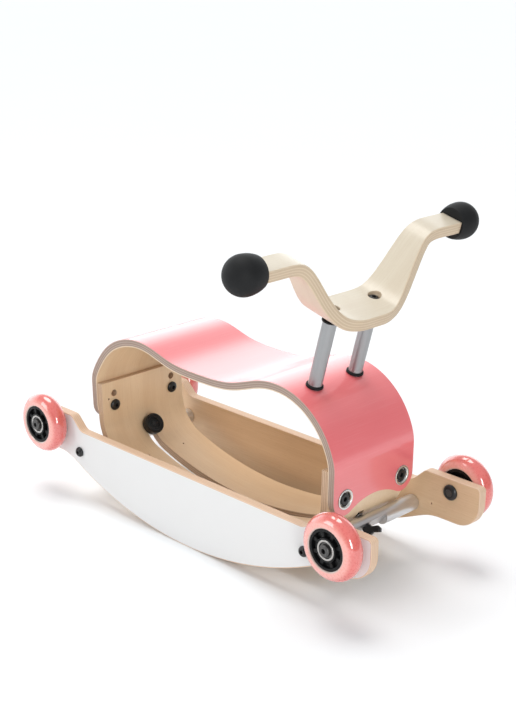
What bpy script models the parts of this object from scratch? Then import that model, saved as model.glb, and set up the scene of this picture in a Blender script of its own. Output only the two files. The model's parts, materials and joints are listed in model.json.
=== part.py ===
"""Rocking horse in its rocker setting: a moulded plywood saddle shell on a cradle between two rocker
panels, with four wheels on the panel ends and a wave-shaped handlebar on two posts.

Metres, +Z up, +X towards the handlebar, +Y to the rider's left. The floor is at Z = 0."""

import math

import bmesh
import bpy
import numpy as np
from mathutils import Matrix, Vector

mm = 0.001
gap = 0.3 * mm

# Rocker panels
panel_inner_y = 83.2 * mm
panel_thick = 11.4 * mm
panel_half_length = 273.5 * mm
panel_top_z = 85.3 * mm
ear_top_z = 101.2 * mm
ear_start_x = 199 * mm
ear_step = 17 * mm
ear_under_z = 51 * mm
ear_corner = 29 * mm
rocker_radius = 445 * mm
rocker_blend = 15 * mm

# Wheels
wheel_base = 470 * mm
wheel_z = 86 * mm
wheel_y = 107.9 * mm
tyre_radius = 36 * mm
tyre_width = 23.4 * mm
core_radius = 22.2 * mm
bearing_radius = 11 * mm
bearing_bore = 4 * mm
bearing_width = 7 * mm
axle_radius = 4 * mm

# Cross bars and clamps
bar_radius = 9.25 * mm
bar_x = 184 * mm
bar_z = 58.4 * mm
clamp_shank = 3 * mm

# Cradle
cradle_half_width = 64.4 * mm
cradle_thick = 8.8 * mm
floor_z = 27.8 * mm
floor_radius = 430 * mm
bend_radius = 50 * mm
front_bend_x = 128 * mm
rear_bend_x = 126 * mm
rear_plate_tilt = math.radians(3)
plate_top_z = 138.5 * mm
slot_half_width = 6 * mm

# Seat shell
seat_thick = 9 * mm
front_bolt_z = 105.4 * mm
rear_bolt_z = 108.9 * mm
seat_bolt_y = 46 * mm
spare_hole_rise = 14.5 * mm
lobe_radius = 18.3 * mm
arch_drop = 6.4 * mm
seat_crown = [
    (-187.3, 163.6),
    (-165.5, 189.7),
    (-133.5, 205.8),
    (-97, 207.9),
    (-57, 198.1),
    (-10.5, 194.8),
    (46, 199.6),
    (88.5, 212.9),
    (133.5, 211.5),
    (170.5, 190),
    (191, 160),
]

# Handlebar group: its frame is tilted with the posts
bar_lean = math.radians(14.3)
bar_origin = Vector((159 * mm, 0, 301.4 * mm))
post_y = 32 * mm
post_radius = 7.7 * mm
post_drop = 92.75 * mm
handlebar_thick = 13.2 * mm
arm_end_y = 160 * mm
arm_rear_x = -24 * mm
arm_front_x = 4.5 * mm
centre_front_x = 34 * mm
centre_rear_x = -22.5 * mm
arm_height = 66.8 * mm
ball_y = 167 * mm
ball_radius = 20.7 * mm
wave = [(0, 0), (24, 0.3), (36, 2.4), (49, 11), (59.3, 22.5), (69.5, 36.5), (80.5, 51), (91.5, 61), (105, 66), (123, 66.9)]


def clear_scene():
    for obj in list(bpy.data.objects):
        bpy.data.objects.remove(obj)
    parts = bpy.data.collections.new("rocking_horse")
    helpers = bpy.data.collections.new("cutters")
    bpy.context.scene.collection.children.link(parts)
    bpy.context.scene.collection.children.link(helpers)
    return parts, helpers


parts, helpers = clear_scene()


def make_material(name, color, roughness, metallic=0.0, coat=0.0):
    material = bpy.data.materials.new(name)
    material.use_nodes = True
    shader = material.node_tree.nodes["Principled BSDF"]
    shader.inputs["Base Color"].default_value = (*color, 1)
    shader.inputs["Roughness"].default_value = roughness
    shader.inputs["Metallic"].default_value = metallic
    shader.inputs["Coat Weight"].default_value = coat
    material.diffuse_color = (*color, 1)
    return material


pink_laminate = make_material("pink_laminate", (0.82, 0.22, 0.26), 0.25, coat=0.6)
birch_ply = make_material("birch_ply", (0.68, 0.5, 0.34), 0.45)
pale_birch = make_material("pale_birch", (0.8, 0.7, 0.58), 0.4)
white_panel = make_material("white_panel", (0.82, 0.82, 0.82), 0.35)
coral_tyre = make_material("coral_tyre", (0.85, 0.28, 0.26), 0.2, coat=0.5)
black_plastic = make_material("black_plastic", (0.02, 0.02, 0.022), 0.35)
black_rubber = make_material("black_rubber", (0.018, 0.019, 0.021), 0.7)
black_steel = make_material("black_steel", (0.025, 0.025, 0.025), 0.35, metallic=0.6)
bright_steel = make_material("bright_steel", (0.62, 0.62, 0.6), 0.25, metallic=1.0)
satin_aluminium = make_material("satin_aluminium", (0.66, 0.67, 0.69), 0.35, metallic=1.0)


# ---------------------------------------------------------------- shapes: (points, faces)


def loft(rings):
    """A closed solid through rings of points that all have the same count, capped at both ends."""
    count = len(rings[0])
    points = [Vector(point) for ring in rings for point in ring]
    faces = [tuple(reversed(range(count)))]
    for start in range(0, (len(rings) - 1) * count, count):
        for index in range(count):
            after = (index + 1) % count
            faces.append((start + index, start + after, start + count + after, start + count + index))
    last = (len(rings) - 1) * count
    faces.append(tuple(range(last, last + count)))
    return points, faces


def lathe(profile, steps=32):
    """A solid turned about Z. A profile that starts and ends on the axis is capped, any other is a ring."""
    capped = profile[0][0] == 0
    rows = profile[1:-1] if capped else profile
    points = []
    for radius, height in rows:
        for step in range(steps):
            angle = 2 * math.pi * step / steps
            points.append(Vector((radius * math.cos(angle), radius * math.sin(angle), height)))
    faces = []
    for row in range(len(rows) - 1 if capped else len(rows)):
        below = row * steps
        above = (row + 1) % len(rows) * steps
        for step in range(steps):
            after = (step + 1) % steps
            faces.append((below + step, below + after, above + after, above + step))
    if capped:
        bottom = len(points)
        points.append(Vector((0, 0, profile[0][1])))
        points.append(Vector((0, 0, profile[-1][1])))
        top = (len(rows) - 1) * steps
        for step in range(steps):
            after = (step + 1) % steps
            faces.append((bottom, after, step))
            faces.append((bottom + 1, top + step, top + after))
    return points, faces


def rod(radius, low, high, steps=12):
    return lathe([(0, low), (radius, low), (radius, high), (0, high)], steps)


def box(low, high):
    (x0, y0, z0), (x1, y1, z1) = low, high
    bottom = [(x0, y0, z0), (x1, y0, z0), (x1, y1, z0), (x0, y1, z0)]
    top = [(x0, y0, z1), (x1, y0, z1), (x1, y1, z1), (x0, y1, z1)]
    return loft([bottom, top])


def placed(shape, location, direction=(0, 0, 1)):
    """The shape moved to a point, with its Z turned to a direction."""
    turn = Vector(direction).to_track_quat("Z", "Y").to_matrix().to_4x4()
    matrix = Matrix.Translation(Vector(location)) @ turn
    return [matrix @ point for point in shape[0]], shape[1]


def joined(shapes):
    points = []
    faces = []
    for more_points, more_faces in shapes:
        offset = len(points)
        points += more_points
        faces += [tuple(index + offset for index in face) for face in more_faces]
    return points, faces


def add_object(name, shape, collection, material=None):
    mesh = bpy.data.meshes.new(name)
    mesh.from_pydata(shape[0], [], shape[1])
    bm = bmesh.new()
    bm.from_mesh(mesh)
    bmesh.ops.recalc_face_normals(bm, faces=bm.faces)
    bm.to_mesh(mesh)
    bm.free()
    obj = bpy.data.objects.new(name, mesh)
    collection.objects.link(obj)
    if material:
        mesh.materials.append(material)
        mesh.shade_smooth()
        mesh.set_sharp_from_angle(angle=math.radians(35))
    return obj


def add_part(name, shape, material, location=(0, 0, 0), direction=None):
    obj = add_object(name, shape, parts, material)
    obj.location = location
    if direction:
        obj.rotation_euler = Vector(direction).to_track_quat("Z", "Y").to_euler()
    return obj


def in_bar_frame(obj, offset):
    """Places an object in the tilted frame of the handlebar."""
    tilt = Matrix.Rotation(bar_lean, 4, "Y")
    obj.location = bar_origin + tilt @ Vector(offset)
    obj.rotation_euler = (0, bar_lean, 0)


def round_edges(obj, width, angle=50):
    bevel = obj.modifiers.new("edges", "BEVEL")
    bevel.width = width
    bevel.segments = 1
    bevel.limit_method = "ANGLE"
    bevel.angle_limit = math.radians(angle)


def cut_from(obj, shapes):
    cutter = add_object(obj.name + "_cutter", joined(shapes), helpers)
    cutter.matrix_world = obj.matrix_world
    cutter.location = obj.location
    cutter.rotation_euler = obj.rotation_euler
    cutter.hide_render = True
    cutter.display_type = "WIRE"
    boolean = obj.modifiers.new("cut", "BOOLEAN")
    boolean.operation = "DIFFERENCE"
    boolean.solver = "EXACT"
    boolean.use_self = True
    boolean.object = cutter


# ---------------------------------------------------------------- plane curves in X and Z


def arc_walk(start, heading, pieces):
    """Points and headings along straight and round pieces, each given as (length, turn, steps)."""
    points = [start]
    headings = [heading]
    for length, turn, steps in pieces:
        for _ in range(steps):
            middle = heading + turn / steps / 2
            x, z = points[-1]
            points.append((x + length / steps * math.cos(middle), z + length / steps * math.sin(middle)))
            heading += turn / steps
            headings.append(heading)
    return points, headings


def smooth_curve(knots, start_direction, end_direction, per_span):
    """A curve through the knots with even curvature and the given end directions."""
    knots = np.array(knots)
    chord = np.linalg.norm(np.diff(knots, axis=0), axis=1)
    count = len(knots)
    system = np.eye(count)
    right = np.zeros((count, 2))
    right[0] = start_direction
    right[-1] = end_direction
    for index in range(1, count - 1):
        before, after = chord[index - 1], chord[index]
        system[index, index - 1 : index + 2] = (after, 2 * (before + after), before)
        fall = after * (knots[index] - knots[index - 1]) / before
        rise = before * (knots[index + 1] - knots[index]) / after
        right[index] = 3 * (fall + rise)
    tangents = np.linalg.solve(system, right)
    points = []
    for index in range(count - 1):
        for t in np.arange(per_span) / per_span:
            a = (1 + 2 * t) * (1 - t) ** 2 * knots[index]
            b = t * (1 - t) ** 2 * chord[index] * tangents[index]
            c = t * t * (3 - 2 * t) * knots[index + 1]
            d = t * t * (t - 1) * chord[index] * tangents[index + 1]
            points.append(tuple(a + b + c + d))
    points.append(tuple(knots[-1]))
    return points


def offset_curve(points, distance):
    """The curve moved sideways, to the right of its direction when distance is positive."""
    line = np.array(points)
    slope = np.gradient(line, axis=0)
    slope /= np.linalg.norm(slope, axis=1)[:, None]
    return [tuple(point) for point in line + distance * np.stack([slope[:, 1], -slope[:, 0]], axis=1)]


def strip(upper, lower, half_widths):
    """A board whose long section lies in the X-Z plane, as wide as given at each station."""
    rings = []
    for (ux, uz), (lx, lz), half in zip(upper, lower, half_widths):
        rings.append([(ux, -half, uz), (ux, half, uz), (lx, half, lz), (lx, -half, lz)])
    return loft(rings)


def plate(outline, low_y, high_y):
    """A flat board: an outline in X and Z between two Y positions."""
    return loft([[(x, low_y, z) for x, z in outline], [(x, high_y, z) for x, z in outline]])


# ---------------------------------------------------------------- cradle path, shared by its neighbours


def half_cradle(bend_x, tilt):
    """The upper face from the floor's middle to the top of one plate, running towards +X."""
    sweep = math.asin(bend_x / (floor_radius - bend_radius))
    turn = math.pi / 2 - tilt - sweep
    centre_z = floor_z + floor_radius - (floor_radius - bend_radius) * math.cos(sweep)
    centre = Vector((bend_x, 0, centre_z))
    plate_start = centre_z + bend_radius * -math.cos(sweep + turn)
    rise = (plate_top_z - plate_start) / math.cos(tilt)
    pieces = [(floor_radius * sweep, sweep, 9), (bend_radius * turn, turn, 10), (rise, 0, 2)]
    points, headings = arc_walk((0, floor_z), 0, pieces)
    return points, headings, centre


front_path, front_headings, front_centre = half_cradle(front_bend_x, 0)
rear_path, rear_headings, rear_centre = half_cradle(rear_bend_x, rear_plate_tilt)
rear_centre.x = -rear_centre.x


def cradle_faces(depth):
    """The cradle's section curve, moved down and outwards by a depth, from the rear plate to the front."""
    rear = []
    for (x, z), heading in zip(rear_path, rear_headings):
        rear.append((-x - depth * math.sin(heading), z - depth * math.cos(heading)))
    front = []
    for (x, z), heading in zip(front_path, front_headings):
        front.append((x + depth * math.sin(heading), z - depth * math.cos(heading)))
    return rear[::-1] + front[1:]


def plate_x(side, z, depth):
    """Where a face of the front (+1) or rear (-1) plate is at a height."""
    if side > 0:
        return front_path[-1][0] + depth
    top_x, top_z = rear_path[-1]
    lean = math.tan(rear_plate_tilt)
    return -(top_x - (top_z - z) * lean + depth / math.cos(rear_plate_tilt))


def clamp_axis(side):
    """The clamp bolt's direction, from the bend's centre out through the cross bar."""
    centre = front_centre if side > 0 else rear_centre
    return centre, (Vector((side * bar_x, 0, bar_z)) - centre).normalized()


def make_cradle():
    upper = cradle_faces(0)
    lower = cradle_faces(cradle_thick)
    cradle = add_part("cradle", strip(upper, lower, [cradle_half_width] * len(upper)), birch_ply)
    over = cradle_faces(-4 * mm)
    under = cradle_faces(cradle_thick + 4 * mm)
    # The slot runs from one clamp to the other, with round ends.
    first = 6
    last = len(over) - 7
    widths = []
    for index in range(first, last + 1):
        near_end = min(index - first, last - index)
        share = min(1, near_end / 2 + 0.3)
        widths.append(slot_half_width * math.sqrt(1 - (1 - share) ** 2))
    cutters = [strip(over[first : last + 1], under[first : last + 1], widths)]
    for side in (-1, 1):
        bolt_z = front_bolt_z if side > 0 else rear_bolt_z
        face_x = plate_x(side, bolt_z, cradle_thick / 2)
        for y in (-seat_bolt_y, seat_bolt_y):
            for z, radius in ((bolt_z, 3.4 * mm), (bolt_z + spare_hole_rise, 4.2 * mm)):
                cutters.append(placed(rod(radius, -12 * mm, 12 * mm), (face_x, y, z), (1, 0, 0)))
        pilot = (plate_x(side, 117 * mm, 0) - side * 2 * mm, side * 54.5 * mm, 117.3 * mm)
        cutters.append(placed(rod(1.3 * mm, 0, 5 * mm, 8), pilot, (side, 0, 0)))
    for y in (-28 * mm, 28 * mm):
        cutters.append(placed(rod(1.3 * mm, -4 * mm, 4 * mm, 8), (-134.5 * mm, y, 50 * mm), (0.35, 0, 0.94)))
    round_edges(cradle, 0.7 * mm)
    cut_from(cradle, cutters)


# ---------------------------------------------------------------- seat shell


def lobed_cutter(side):
    """What is cut from a seat end below the two round lobes and the arch between them."""
    bolt_z = front_bolt_z if side > 0 else rear_bolt_z
    reach = lobe_radius - arch_drop
    arch_radius = (seat_bolt_y**2 + arch_drop**2 - lobe_radius**2) / (2 * reach)
    arch_centre = bolt_z - arch_drop - arch_radius
    meet = math.atan2(seat_bolt_y, bolt_z - arch_centre)
    edge = []
    for step in range(13):
        angle = math.pi / 2 * (1 - step / 12) - meet * step / 12
        edge.append((seat_bolt_y + lobe_radius * math.sin(angle), bolt_z - lobe_radius * math.cos(angle)))
    for step in range(1, 9):
        angle = meet * (1 - step / 8)
        edge.append((arch_radius * math.sin(angle), arch_centre + arch_radius * math.cos(angle)))
    right = [(y, z) for y, z in edge[:-1]]
    left = [(-y, z) for y, z in reversed(right)]
    low = bolt_z - 60 * mm
    outside = 80 * mm
    outline = [(outside, low), (outside, bolt_z), *right, edge[-1], *left, (-outside, bolt_z), (-outside, low)]
    near, far = sorted((side * 170 * mm, side * 225 * mm))
    return loft([[(near, y, z) for y, z in outline], [(far, y, z) for y, z in outline]])


def make_seat():
    depth = cradle_thick + gap + seat_thick
    low = 80 * mm
    rear_low = (plate_x(-1, low, depth), low)
    rear_high = (plate_x(-1, plate_top_z, depth), plate_top_z)
    front_high = (plate_x(1, plate_top_z, depth), plate_top_z)
    front_low = (plate_x(1, low, depth), low)
    knots = [rear_high, *((x * mm, z * mm) for x, z in seat_crown), front_high]
    rear_way = (-math.sin(rear_plate_tilt), math.cos(rear_plate_tilt))
    crown = smooth_curve(knots, rear_way, (0, -1), 3)
    middle = tuple((a + b) / 2 for a, b in zip(rear_low, rear_high))
    upper = [rear_low, middle, *crown, ((front_high[0] + front_low[0]) / 2, 110 * mm), front_low]
    lower = offset_curve(upper, seat_thick)
    for index in (0, 1, 2):
        lower[index] = (plate_x(-1, upper[index][1], depth - seat_thick), upper[index][1])
        lower[-1 - index] = (plate_x(1, upper[-1 - index][1], depth - seat_thick), upper[-1 - index][1])
    seat = add_part("seat_shell", strip(upper, lower, [cradle_half_width] * len(upper)), pink_laminate)
    cutters = [lobed_cutter(-1), lobed_cutter(1)]
    for side in (-1, 1):
        bolt_z = front_bolt_z if side > 0 else rear_bolt_z
        face_x = plate_x(side, bolt_z, depth)
        for y in (-seat_bolt_y, seat_bolt_y):
            hole = lathe([(0, -20 * mm), (3.4 * mm, -20 * mm), (3.4 * mm, -6.2 * mm), (11.2 * mm, -6.2 * mm),
                          (11.2 * mm, 4 * mm), (0, 4 * mm)], 20)
            cutters.append(placed(hole, (face_x, y, bolt_z), (side, 0, 0)))
    tilt = Matrix.Rotation(bar_lean, 4, "Y")
    for y in (-post_y, post_y):
        foot = bar_origin + tilt @ Vector((0, y, -post_drop))
        cutters.append(placed(rod(post_radius + gap, -20 * mm, 12 * mm, 24), foot, tilt @ Vector((0, 0, 1))))
    round_edges(seat, 0.8 * mm)
    cut_from(seat, cutters)


# ---------------------------------------------------------------- rocker panels, cross bars and clamps


def corner_points(centre, radius, start, end, steps):
    angles = [math.radians(start + (end - start) * step / steps) for step in range(steps + 1)]
    return [(centre[0] + radius * math.cos(a), centre[1] + radius * math.sin(a)) for a in angles]


def rounded_corner(before, corner, after, radius, steps):
    """The points of an arc that rounds off one corner of an outline."""
    a = (Vector(before) - Vector(corner)).normalized()
    b = (Vector(after) - Vector(corner)).normalized()
    half = a.angle(b) / 2
    centre = Vector(corner) + (a + b).normalized() * radius / math.sin(half)
    first = Vector(corner) + a * radius / math.tan(half) - centre
    last = Vector(corner) + b * radius / math.tan(half) - centre
    sweep = first.angle_signed(last)
    points = []
    for step in range(steps + 1):
        turned = Matrix.Rotation(-sweep * step / steps, 2) @ first
        points.append(tuple(centre + turned))
    return points


def half_outline():
    """The right half of a rocker panel's outline, from the bottom's middle to the top edge's middle."""
    arc_centre_z = rocker_radius
    meet_x = math.sqrt(rocker_radius**2 - (arc_centre_z - ear_under_z) ** 2)
    slope = meet_x / (arc_centre_z - ear_under_z)
    rocker_end = meet_x - rocker_blend
    points = []
    for step in range(14):
        # The lowest 3 mm each way is one flat facet, which the part rests on.
        x = 3 * mm + (rocker_end - 3 * mm) * step / 13
        points.append((x, arc_centre_z - math.sqrt(rocker_radius**2 - x * x)))
    before = (meet_x - 2 * rocker_blend, ear_under_z - 2 * rocker_blend * slope)
    blend = rocker_blend / math.tan(math.atan(slope) / 2)
    points += rounded_corner(before, (meet_x, ear_under_z), (meet_x + 50 * mm, ear_under_z), blend, 6)[1:]
    corner = (panel_half_length - ear_corner, ear_under_z + ear_corner)
    points += corner_points(corner, ear_corner, -90, 0, 9)
    top = (panel_half_length, ear_top_z)
    step_top = (ear_start_x, ear_top_z)
    step_foot = (ear_start_x - ear_step, panel_top_z)
    points += rounded_corner(corner_side(top), top, step_top, 5 * mm, 3)
    points += rounded_corner(top, step_top, step_foot, 9 * mm, 4)
    points += rounded_corner(step_top, step_foot, (0, panel_top_z), 12 * mm, 4)
    return points


def corner_side(point):
    return (point[0], point[1] - 50 * mm)


def make_panels():
    right = half_outline()
    low = right[0][1]
    right[0] = (3 * mm, low)
    outline = right + [(-x, z) for x, z in reversed(right)]
    for name, side in (("side_panel_left", 1), ("side_panel_right", -1)):
        shape = plate(outline, panel_inner_y, panel_inner_y + panel_thick)
        points = [Vector((p.x, side * p.y, p.z - low)) for p in shape[0]]
        panel = add_part(name, (points, shape[1]), white_panel)
        cutters = []
        for end in (-1, 1):
            axle = (end * wheel_base / 2, side * 89 * mm, wheel_z)
            cutters.append(placed(rod(axle_radius + gap, -15 * mm, 15 * mm), axle, (0, 1, 0)))
            bolt = (end * bar_x, side * 89 * mm, bar_z)
            cutters.append(placed(rod(3 * mm + gap, -15 * mm, 15 * mm), bolt, (0, 1, 0)))
            pilot = (end * 210 * mm, side * (panel_inner_y - 2 * mm), 64.5 * mm)
            cutters.append(placed(rod(1.3 * mm, 0, 5 * mm, 8), pilot, (0, side, 0)))
        round_edges(panel, 0.7 * mm)
        cut_from(panel, cutters)


def make_cross_bars():
    half = panel_inner_y - gap
    for name, side in (("cross_bar_front", 1), ("cross_bar_rear", -1)):
        centre = (side * bar_x, 0, bar_z)
        shape = placed(rod(bar_radius, -half, half, 24), (0, 0, 0), (0, 1, 0))
        bar = add_part(name, shape, satin_aluminium, centre)
        _, outward = clamp_axis(side)
        cutters = [placed(rod(clamp_shank + gap, -20 * mm, 20 * mm, 16), (0, 0, 0), outward)]
        for end in (-1, 1):
            mouth = (0, end * (half + 2 * mm), 0)
            cutters.append(placed(rod(3 * mm + gap, 0, 26 * mm, 16), mouth, (0, -end, 0)))
        flat = box((-16 * mm, -28 * mm, 3.2 * mm), (16 * mm, 28 * mm, 20 * mm))
        turn = math.atan2(outward.x, outward.z)
        rotation = Matrix.Rotation(turn, 4, "Y")
        cutters.append(([rotation @ point for point in flat[0]], flat[1]))
        round_edges(bar, 0.5 * mm, 60)
        cut_from(bar, cutters)


def dome_bolt(head_radius, head_height, shank_radius, shank_length, socket):
    """A round-headed bolt along +Z from its seat: the head is above 0, the shank below."""
    return lathe([(0, -shank_length), (shank_radius, -shank_length), (shank_radius, 0), (head_radius, 0),
                  (head_radius, 0.35 * head_height), (0.9 * head_radius, 0.7 * head_height),
                  (0.66 * head_radius, head_height), (socket, head_height), (socket, 0.45 * head_height),
                  (0, 0.45 * head_height)], 16)


def make_bar_bolts():
    for side, lead in ((1, "left"), (-1, "right")):
        for end, place in ((1, "front"), (-1, "rear")):
            seat = (end * bar_x, side * (panel_inner_y + panel_thick + gap), bar_z)
            bolt = dome_bolt(6 * mm, 4 * mm, 3 * mm, 34 * mm, 2.3 * mm)
            add_part(f"bar_bolt_{place}_{lead}", bolt, black_steel, seat, (0, side, 0))


def make_clamps():
    for name, side in (("rear", -1), ("front", 1)):
        centre, outward = clamp_axis(side)
        inside = centre + outward * (bend_radius - gap)
        outside = centre + outward * (bend_radius + cradle_thick)
        bar = Vector((side * bar_x, 0, bar_z))
        room = (bar - outside).length - bar_radius
        ring = lathe([(4 * mm, 0.45 * mm), (6.3 * mm, 0.45 * mm), (6.3 * mm, room - gap), (4 * mm, room - gap)], 20)
        add_part(f"clamp_spacer_{name}", ring, black_plastic, outside, outward)
        if side < 0:
            # The knob turns on the bolt inside the cradle, and the bolt's head is on the bar's flat.
            knob = lathe([(clamp_shank + gap, 0), (9.5 * mm, 0), (9.5 * mm, 2 * mm), (12.6 * mm, 3.6 * mm),
                          (12.9 * mm, 12.4 * mm), (11.8 * mm, 14 * mm), (8.2 * mm, 14 * mm), (7.4 * mm, 12 * mm),
                          (clamp_shank + gap, 12 * mm)], 28)
            base = centre + outward * (bend_radius - 1.4 * mm)
            add_part("rear_clamp_knob", knob, black_plastic, base, -outward)
            reach = (bar - base).length
            bolt = lathe([(0, -11 * mm), (clamp_shank, -11 * mm), (clamp_shank, reach + 3.5 * mm),
                          (6 * mm, reach + 3.5 * mm), (6 * mm, reach + 7.5 * mm), (0, reach + 7.5 * mm)], 24)
            add_part("rear_clamp_bolt", bolt, black_steel, base, outward)
        else:
            reach = (bar - inside).length
            head = lathe([(0, -4 * mm), (8.5 * mm, -4 * mm), (9.5 * mm, -3 * mm), (9.5 * mm, -0.9 * mm),
                          (clamp_shank, -0.9 * mm), (clamp_shank, reach + 14.4 * mm), (0, reach + 14.4 * mm)], 20)
            add_part("front_clamp_bolt", head, black_steel, inside, outward)
            lever = make_wing()
            lever.location = bar + outward * 3.5 * mm
            turn = outward.to_track_quat("Z", "Y") @ Matrix.Rotation(math.radians(-30), 3, "Z").to_quaternion()
            lever.rotation_euler = turn.to_euler()


def make_wing():
    """A two-winged nut with slanting flat flanks, its base at Z = 0."""
    outline = [(-4.6, 0), (4.6, 0), (5.2, 4), (11.4, 7.5), (12.2, 12.5), (9.6, 15.4), (5, 12), (3.8, 10.4),
               (-3.8, 10.4), (-5, 12), (-9.6, 15.4), (-12.2, 12.5), (-11.4, 7.5), (-5.2, 4)]
    rings = []
    for y, share in ((-3.9, 0.86), (-2.6, 1), (2.6, 1), (3.9, 0.86)):
        rings.append([(y * mm, share * x * mm, 8 * mm + share * (z - 8) * mm) for x, z in outline])
    wing = add_part("front_clamp_lever", loft(rings), black_plastic)
    round_edges(wing, 0.5 * mm)
    cut_from(wing, [rod(clamp_shank + gap, -6 * mm, 22 * mm, 16)])
    wing.modifiers["cut"].object.parent = wing
    return wing


# ---------------------------------------------------------------- wheels


def tyre_profile():
    half = tyre_width / 2
    inner = core_radius + gap
    shoulder = tyre_radius - 11.5 * mm
    points = [(inner, -half)]
    for step in range(8):
        angle = -math.pi / 2 + math.pi * step / 7
        points.append((shoulder + 11.5 * mm * math.cos(angle), half * math.sin(angle)))
    points.append((inner, half))
    return points


def core_profile():
    """The wheel core about the outer face: a rim, a recessed web and a hub that holds the bearing."""
    half = tyre_width / 2
    edge = half - 1 * mm
    bore = axle_radius + 1 * mm
    hold = bearing_radius + 0.15 * mm
    return [(bore, -half), (12.6 * mm, -half), (12.6 * mm, -edge + 5 * mm), (19 * mm, -edge + 5 * mm),
            (19.4 * mm, -edge), (core_radius, -edge), (core_radius, edge), (19.4 * mm, edge),
            (19 * mm, edge - 5 * mm), (13 * mm, edge - 5 * mm), (12.6 * mm, half), (hold, half),
            (hold, half - bearing_width - 0.3 * mm), (bore, half - bearing_width - 0.3 * mm)]


def make_wheels():
    half = tyre_width / 2
    for side, lead in ((1, "left"), (-1, "right")):
        for end, place in ((1, "front"), (-1, "rear")):
            tag = f"{place}_{lead}"
            centre = (end * wheel_base / 2, side * wheel_y, wheel_z)
            out = (0, side, 0)
            add_part(f"tyre_{tag}", lathe(tyre_profile(), 36), coral_tyre, centre, out)
            add_part(f"wheel_core_{tag}", lathe(core_profile(), 24), black_plastic, centre, out)
            low = half - bearing_width - 0.15 * mm
            high = half - 0.15 * mm
            race = [(8.6 * mm, low), (bearing_radius, low), (bearing_radius, high), (8.6 * mm, high)]
            add_part(f"bearing_{tag}", lathe(race, 24), bright_steel, centre, out)
            inner_low = -half - 1 * mm
            # The axle bolt carries the bearing's inner race and the spacer sleeve behind it.
            axle = [(0, -28.4 * mm), (axle_radius, -28.4 * mm), (axle_radius, inner_low - 0.3 * mm),
                    (7 * mm, inner_low - 0.3 * mm), (7 * mm, -half - gap), (4.7 * mm, -half - gap),
                    (4.7 * mm, low), (8.3 * mm, low), (8.3 * mm, high - 0.6 * mm), (6.6 * mm, high - 0.6 * mm),
                    (6.6 * mm, high + 2.4 * mm), (5.8 * mm, high + 3.2 * mm), (2.6 * mm, high + 3.2 * mm),
                    (2.6 * mm, high - 0.6 * mm), (0, high - 0.6 * mm)]
            add_part(f"axle_{tag}", lathe(axle, 16), black_steel, centre, out)
            nut_seat = (end * wheel_base / 2, side * (panel_inner_y - gap), wheel_z)
            nut = [(axle_radius + gap, 0), (9 * mm, 0), (9 * mm, 1.4 * mm), (7.6 * mm, 3 * mm), (5.6 * mm, 3.8 * mm),
                   (axle_radius + gap, 3.8 * mm)]
            add_part(f"axle_nut_{tag}", lathe(nut, 16), black_steel, nut_seat, (0, -side, 0))


# ---------------------------------------------------------------- handlebar group


def make_handlebar():
    heights = smooth_curve([(y * mm, z * mm) for y, z in wave] + [(arm_end_y, arm_height)], (1, 0), (1, 0), 2)
    half = offset_curve(heights, handlebar_thick)
    half[0] = (0, -handlebar_thick)
    rings = []
    for index in range(-len(heights) + 1, len(heights)):
        side = 1 if index > 0 else -1
        top_y, top_z = heights[abs(index)]
        low_y, low_z = half[abs(index)]
        share = min(1, max(0, (top_y - 12 * mm) / (88 * mm)))
        blend = share * share * (3 - 2 * share)
        front = centre_front_x + (arm_front_x - centre_front_x) * blend
        rear = centre_rear_x + (arm_rear_x - centre_rear_x) * blend
        rings.append([(front, side * top_y, top_z), (rear, side * top_y, top_z),
                      (rear, side * low_y, low_z), (front, side * low_y, low_z)])
    bar = add_part("handlebar", loft(rings), pale_birch)
    in_bar_frame(bar, (0, 0, 0))
    cutters = []
    for y in (-post_y, post_y):
        hole = lathe([(0, -20 * mm), (3.3 * mm, -20 * mm), (3.3 * mm, -5 * mm), (7.1 * mm, -5 * mm),
                      (7.1 * mm, 5 * mm), (0, 5 * mm)], 20)
        cutters.append(placed(hole, (0, y, 0)))
    round_edges(bar, 1.2 * mm)
    cut_from(bar, cutters)


def make_grips():
    middle_x = (arm_front_x + arm_rear_x) / 2
    middle_z = arm_height - handlebar_thick / 2
    profile = [(0, ball_radius)]
    for step in range(1, 14):
        angle = math.radians(90 - 10 * step if step < 10 else 8.65 * (9 - step))
        height = ball_radius if angle > 0 else 31 * mm  # the side towards the arm is longer
        profile.append((ball_radius * math.cos(angle), height * math.sin(angle)))
    profile.append((0, profile[-1][1]))
    for name, side in (("grip_ball_left", 1), ("grip_ball_right", -1)):
        turn = Matrix.Rotation(-side * math.pi / 2, 4, "X")
        shape = lathe(profile[::-1], 26)
        ball = add_part(name, ([turn @ point for point in shape[0]], shape[1]), black_rubber)
        in_bar_frame(ball, (middle_x, side * ball_y, middle_z))
        wide = (arm_front_x - arm_rear_x) / 2 + gap
        thick = handlebar_thick / 2 + gap
        near, far = sorted((-side * 30 * mm, side * (arm_end_y - ball_y + gap)))
        cut_from(ball, [box((-wide, near, -thick), (wide, far, thick))])


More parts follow.
